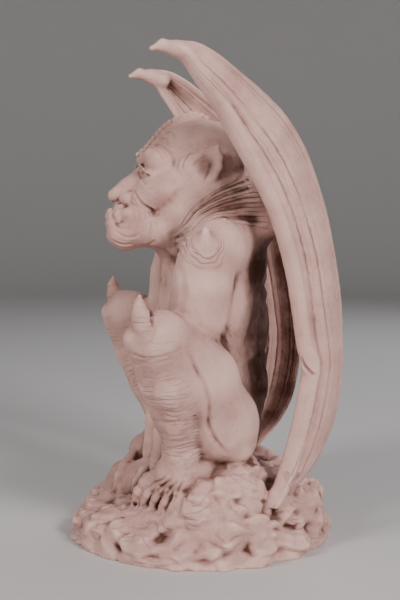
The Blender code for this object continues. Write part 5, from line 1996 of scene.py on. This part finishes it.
@dataclass
class Gargoyle:
    """The whole casting.

    Attributes:
        stain_and_shade_balls: Balls in which the stone is darkened more, by the red-brown patina and by
            painted shade, for both sides.
        fine_parts: Balls in which the mesh is kept dense, for both sides.
    """

    # Painted shade with patina: neck and jaw under the wing, knee, shin, ear and eye corner.
    stain_and_shade_balls: tuple[tuple[float, float, float, float, float], ...] = (
        (50, 14, 312, 40, 0.9), (38, -18, 290, 24, 0.55), (100, -54, 192, 46, 0.22), (84, -38, 125, 36, 0.14),
        (54, -4, 347, 13, 0.7), (16, -57, 345, 7, 0.5),
    )
    fine_parts: tuple[Ball, ...] = (
        (0, -66, 310, 48), (26, -36, 335, 44), (50, 0, 342, 30), (58, -48, 55, 36), (0, -34, 374, 34),
        (112, -68, 222, 18),
    )
    rock: Rock = field(default_factory=Rock)
    trunk: Trunk = field(default_factory=Trunk)
    head: Head = field(default_factory=Head)
    arms: Arms = field(default_factory=Arms)
    legs: Legs = field(default_factory=Legs)
    wing: Wing = field(default_factory=Wing)

    def build(self, step: float, stone: bpy.types.Material) -> bpy.types.Object:
        """Models, carves and finishes the casting.

        Args:
            step: The length of a step, in metres.
            stone: The finish.

        Returns:
            The finished piece.
        """
        cell = FINE_CELL
        low = (-132.0, -130.0, -12.0)
        high = (132.0, 134.0, 460.0)
        ground = Clay(low, high, cell)
        figure = Clay(low, high, cell)
        self.rock.model(ground, stone)
        LOG.info("rock laid")
        self.trunk.model(figure, stone)
        self.arms.model(figure)
        self.legs.model(figure)
        self.head.model(figure, stone)
        for side in SIDES:
            self.wing.model(figure, side, stone)
        LOG.info("figure laid")
        whole = Clay(low, high, cell)
        whole.field = figure.field.copy()
        whole.merge(ground, 3.0)
        height = whole.axes[2].reshape(1, 1, -1)
        whole.field = np.maximum(whole.field, -height).astype(np.float32)
        carving = Carving(*whole.skin())
        LOG.info("skin of %d faces", len(carving.faces))
        self.trunk.carve(carving)
        self.head.carve(carving)
        self.arms.carve(carving)
        self.legs.carve(carving)
        for side in SIDES:
            self.wing.carve(carving, side)
        return self.finish(carving, whole, step, stone)

    def finish(self, carving: Carving, whole: Clay, step: float,
               stone: bpy.types.Material) -> bpy.types.Object:
        """Thins the carved skin, paints shade and red-brown patina into its recesses, lightens its convex
        edges, and scales it to metres.
        """
        points = carving.points
        tooled = lattice_noise(points, 5.0, 71) * 0.16 + lattice_noise(points, 2.6, 72) * 0.12
        on_ground = points[:, 2] < 0.9
        points += carving.normals * (tooled * ~on_ground)[:, None]
        points[on_ground, 2] = 0.0
        points[:, 2] = np.maximum(points[:, 2], 0.0)
        bpy.data.objects.remove(carving.holder)
        rough = carving.as_object("gargoyle")
        group = rough.vertex_groups.new(name="plain parts")
        fine = np.zeros(len(points), dtype=bool)
        for x, y, z, radius in self.fine_parts:
            fine |= gap_to(points, (x, y, z)) < radius
        group.add(np.flatnonzero(~fine).tolist(), 1.0, "REPLACE")
        group.add(np.flatnonzero(fine).tolist(), FINE_WEIGHT, "REPLACE")
        thin = rough.modifiers.new("fewer faces", "DECIMATE")
        thin.vertex_group = group.name
        thin.vertex_group_factor = 1.0
        thin.ratio = min(1.0, TRIANGLES / (2 * len(carving.faces)))
        graph = bpy.context.evaluated_depsgraph_get()
        mesh = bpy.data.meshes.new_from_object(rough.evaluated_get(graph))
        bpy.data.objects.remove(rough)
        mesh.name = "gargoyle"
        corners = np.empty(len(mesh.vertices) * 3)
        mesh.vertices.foreach_get("co", corners)
        corners = corners.reshape(-1, 3)
        mesh.calc_loop_triangles()
        faces = np.empty(len(mesh.loop_triangles) * 3, dtype=np.int64)
        mesh.loop_triangles.foreach_get("vertices", faces)
        faces = faces.reshape(-1, 3)
        stain_and_shade, edge, normals = self.weather(corners, faces, whole)
        creases = Creases(corners, normals)
        self.rock.lines(creases)
        self.trunk.lines(creases)
        self.arms.lines(creases)
        self.legs.lines(creases)
        for side in SIDES:
            self.wing.lines(creases, side)
        # Baked layers: painted shade with red-brown patina, the convex edges and the hair-fine lines.
        layers = {"stain_and_shade": stain_and_shade, "edge": edge, "line_place": creases.place, "line_depth": creases.depth}
        for name, values in layers.items():
            layer = mesh.attributes.new(name, "FLOAT", "POINT")
            layer.data.foreach_set("value", values.astype(np.float32))
        mesh.vertices.foreach_set("co", (corners * step).astype(np.float32).ravel())
        mesh.materials.clear()
        mesh.materials.append(stone)
        mesh.shade_smooth()
        mesh.update()
        piece = bpy.data.objects.new("carved_gargoyle", mesh)
        bpy.context.collection.objects.link(piece)
        LOG.info("gargoyle of %d triangles", len(faces))
        return piece

    def weather(self, points: np.ndarray, faces: np.ndarray, whole: Clay) -> tuple[np.ndarray, ...]:
        """Works out the painted shade and red-brown patina of the recesses and hollows, and which edges stand
        out.

        Args:
            points: The corners of the thinned skin.
            faces: Its triangles.
            whole: The voxels of the whole form.

        Returns:
            How much painted shade and patina each corner takes and how far it stands out, from 0 to 1, and
            the normals.
        """
        corner = points[faces]
        across = np.cross(corner[:, 1] - corner[:, 0], corner[:, 2] - corner[:, 0])
        normals = corner_normals(points, faces, across)
        ends = np.concatenate([faces[:, [0, 1]], faces[:, [1, 2]], faces[:, [2, 0]]])
        ends = np.concatenate([ends, ends[:, ::-1]])
        count = np.bincount(ends[:, 0], minlength=len(points))[:, None]

        def even(values: np.ndarray) -> np.ndarray:
            """Averages values over each corner's neighbours."""
            columns = [np.bincount(ends[:, 0], column, len(points)) for column in values[ends[:, 1]].T]
            return np.stack(columns, axis=1) / np.maximum(count, 1)

        fine = ((even(points) - points) * normals).sum(axis=1, keepdims=True)
        smooth = points
        for _ in range(6):
            smooth = even(smooth)
        broad = ((smooth - points) * normals).sum(axis=1, keepdims=True)
        fine = even(even(fine))[:, 0]
        broad = even(broad)[:, 0]
        # Painted shade: the less open air at three reaches along the normal, the darker.
        shade = np.zeros(len(points))
        for reach, weight in ((5.0, 0.35), (11.0, 0.35), (20.0, 0.3)):
            open_air = whole.read(points + normals * reach) / reach
            shade += weight * (1.0 - np.clip(open_air, 0.0, 1.0))
        # Painted shade and patina in the grooves, where the skin is concave.
        groove = smooth_step(0.05, 0.4, fine) * 0.6 + smooth_step(0.12, 1.3, broad) * 0.65
        # Painted shade where much stone stands round, deep in the hollows.
        crowd_reach = 18.0
        crowded_shade = smooth_step(0.24, 0.5, whole.crowding(points + normals * crowd_reach))
        stain_and_shade = groove + smooth_step(0.3, 0.95, shade) * 0.6 + crowded_shade * 0.55
        # Painted shadow: the hollow between each wing and the body is darkened, as the near wing shades it.
        across = np.abs(points[:, 0])
        outer_face = smooth_step(0.1, 0.4, normals[:, 0] * np.sign(points[:, 0]))
        outer_face *= smooth_step(60.0, 70.0, across)
        inside = smooth_step(14.0, 44.0, points[:, 1]) * (1.0 - smooth_step(84.0, 94.0, across))
        inside *= 1.0 - outer_face
        inside *= smooth_step(70.0, 100.0, points[:, 2]) * (1.0 - smooth_step(330.0, 385.0, points[:, 2]))
        stain_and_shade += inside * 0.95
        # More patina and painted shade in the listed balls: neck, jaw, knee, shin, ear and eye corner.
        for x, y, z, radius, amount in self.stain_and_shade_balls:
            stain_and_shade += amount * (1.0 - smooth_step(radius * 0.35, radius, gap_to(points, (x, y, z))))
        stain_and_shade = np.clip(stain_and_shade, 0.0, 1.0)
        # Lighter where the skin is convex, on edges and ridges.
        edge = np.clip(smooth_step(0.06, 0.5, -fine) * 0.6 + smooth_step(0.3, 1.8, -broad) * 0.5, 0.0, 1.0)
        return stain_and_shade, edge, normals


@dataclass
class Studio:
    """The plain pale floor with a rising rim, the soft lights and the camera.

    Attributes:
        azimuth: The camera's bearing, 0 looking along +Y and 90 along -X, in degrees.
        tilt: How far the camera looks down, in degrees.
        height: The camera's height.
        distance: How far it stands from the figure's axis.
        focal_px: Its focal length in pixels of the photograph, whose long side is long_px.
        long_px: The pixels on the long side.
        sensor: The width of the sensor, in millimetres.
        aim: The height that the lights shine at.
        reach: How far the level part of the floor reaches.
        rim: The radius of the curve at its edge.
        wall: The height of the wall beyond it.
    """

    azimuth: float = 80.5
    tilt: float = 4.5
    height: float = 0.302
    distance: float = 1.0
    focal_px: float = 1056.0
    long_px: float = 600.0
    sensor: float = 36.0
    aim: float = 0.22
    reach: float = 3.2
    rim: float = 1.2
    wall: float = 3.4

    def camera(self) -> None:
        """Places the camera."""
        data = bpy.data.cameras.new("camera")
        camera = bpy.data.objects.new("camera", data)
        bpy.context.collection.objects.link(camera)
        bearing = math.radians(self.azimuth)
        tilt = math.radians(self.tilt)
        back = Vector((math.sin(bearing), -math.cos(bearing), 0.0))
        camera.location = back * self.distance + Vector((0.0, 0.0, self.height))
        forward = Vector((-back.x * math.cos(tilt), -back.y * math.cos(tilt), -math.sin(tilt)))
        camera.rotation_euler = forward.to_track_quat("-Z", "Y").to_euler()
        data.sensor_width = self.sensor
        data.lens = self.focal_px / self.long_px * self.sensor
        data.clip_start = 0.01
        bpy.context.scene.camera = camera

    def light(self, name: str, place: Place, size: float, power: float, colour: Place) -> None:
        """Adds a soft square light that shines at the figure.

        Args:
            name: Its name.
            place: Where it stands, in metres.
            size: The length of its side.
            power: Its power, in watts.
            colour: Its colour.
        """
        data = bpy.data.lights.new(name, "AREA")
        data.size = size
        data.energy = power
        data.color = colour
        lamp = bpy.data.objects.new(name, data)
        bpy.context.collection.objects.link(lamp)
        lamp.location = place
        aim = Vector((0.0, 0.0, self.aim)) - Vector(place)
        lamp.rotation_euler = aim.to_track_quat("-Z", "Y").to_euler()

    def floor(self) -> bpy.types.Object:
        """Makes the round pale floor, whose rim curves up far behind the figure."""
        form = bmesh.new()
        profile = [(0.0, 0.0), (self.reach, 0.0)]
        for angle in np.linspace(0.1, math.pi / 2, 12):
            profile.append((self.reach + self.rim * math.sin(angle), self.rim - self.rim * math.cos(angle)))
        profile.append((self.reach + self.rim, self.wall))
        corners = [form.verts.new((x, 0.0, z)) for x, z in profile]
        edges = [form.edges.new(pair) for pair in zip(corners, corners[1:])]
        bmesh.ops.spin(form, geom=corners + edges, axis=(0, 0, 1), cent=(0, 0, 0), steps=72, angle=math.tau)
        bmesh.ops.remove_doubles(form, verts=form.verts, dist=0.0005)
        bmesh.ops.recalc_face_normals(form, faces=form.faces)
        mesh = bpy.data.meshes.new("floor")
        form.to_mesh(mesh)
        form.free()
        mesh.shade_smooth()
        paint = bpy.data.materials.new("pale_floor")
        paint.use_nodes = True
        shader = paint.node_tree.nodes["Principled BSDF"]
        shader.inputs["Base Color"].default_value = (0.62, 0.61, 0.60, 1.0)
        shader.inputs["Roughness"].default_value = 0.9
        mesh.materials.append(paint)
        floor = bpy.data.objects.new("floor", mesh)
        bpy.context.collection.objects.link(floor)
        return floor

    def build(self) -> None:
        """Sets up the floor, the lights and the camera."""
        self.floor()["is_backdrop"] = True
        self.light("key", (1.15, -1.65, 1.35), 0.6, 27.0, (1.0, 0.965, 0.94))
        self.light("side", (2.0, 0.85, 1.25), 0.6, 45.0, (1.0, 0.95, 0.96))
        self.light("back", (-1.4, 1.1, 1.5), 1.2, 10.0, (0.95, 0.97, 1.0))
        world = bpy.data.worlds.new("studio")
        world.use_nodes = True
        world.node_tree.nodes["Background"].inputs["Color"].default_value = (0.8, 0.82, 0.85, 1.0)
        world.node_tree.nodes["Background"].inputs["Strength"].default_value = 0.17
        bpy.context.scene.world = world
        self.camera()


def main() -> None:
    """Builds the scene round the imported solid."""
    logging.basicConfig(level=logging.INFO, format="%(name)s: %(message)s")
    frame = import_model()
    LOG.info("frame with nodes %s", list(frame["nodes"]))
    solid_low, solid_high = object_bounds()
    step = (solid_high.z - solid_low.z) / GRID_STEPS
    Studio().build()
    stone = CastStone().make()
    piece = Gargoyle().build(step, stone)
    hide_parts("gargoyle")
    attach(piece, "root")


if __name__ == "__main__":
    main()
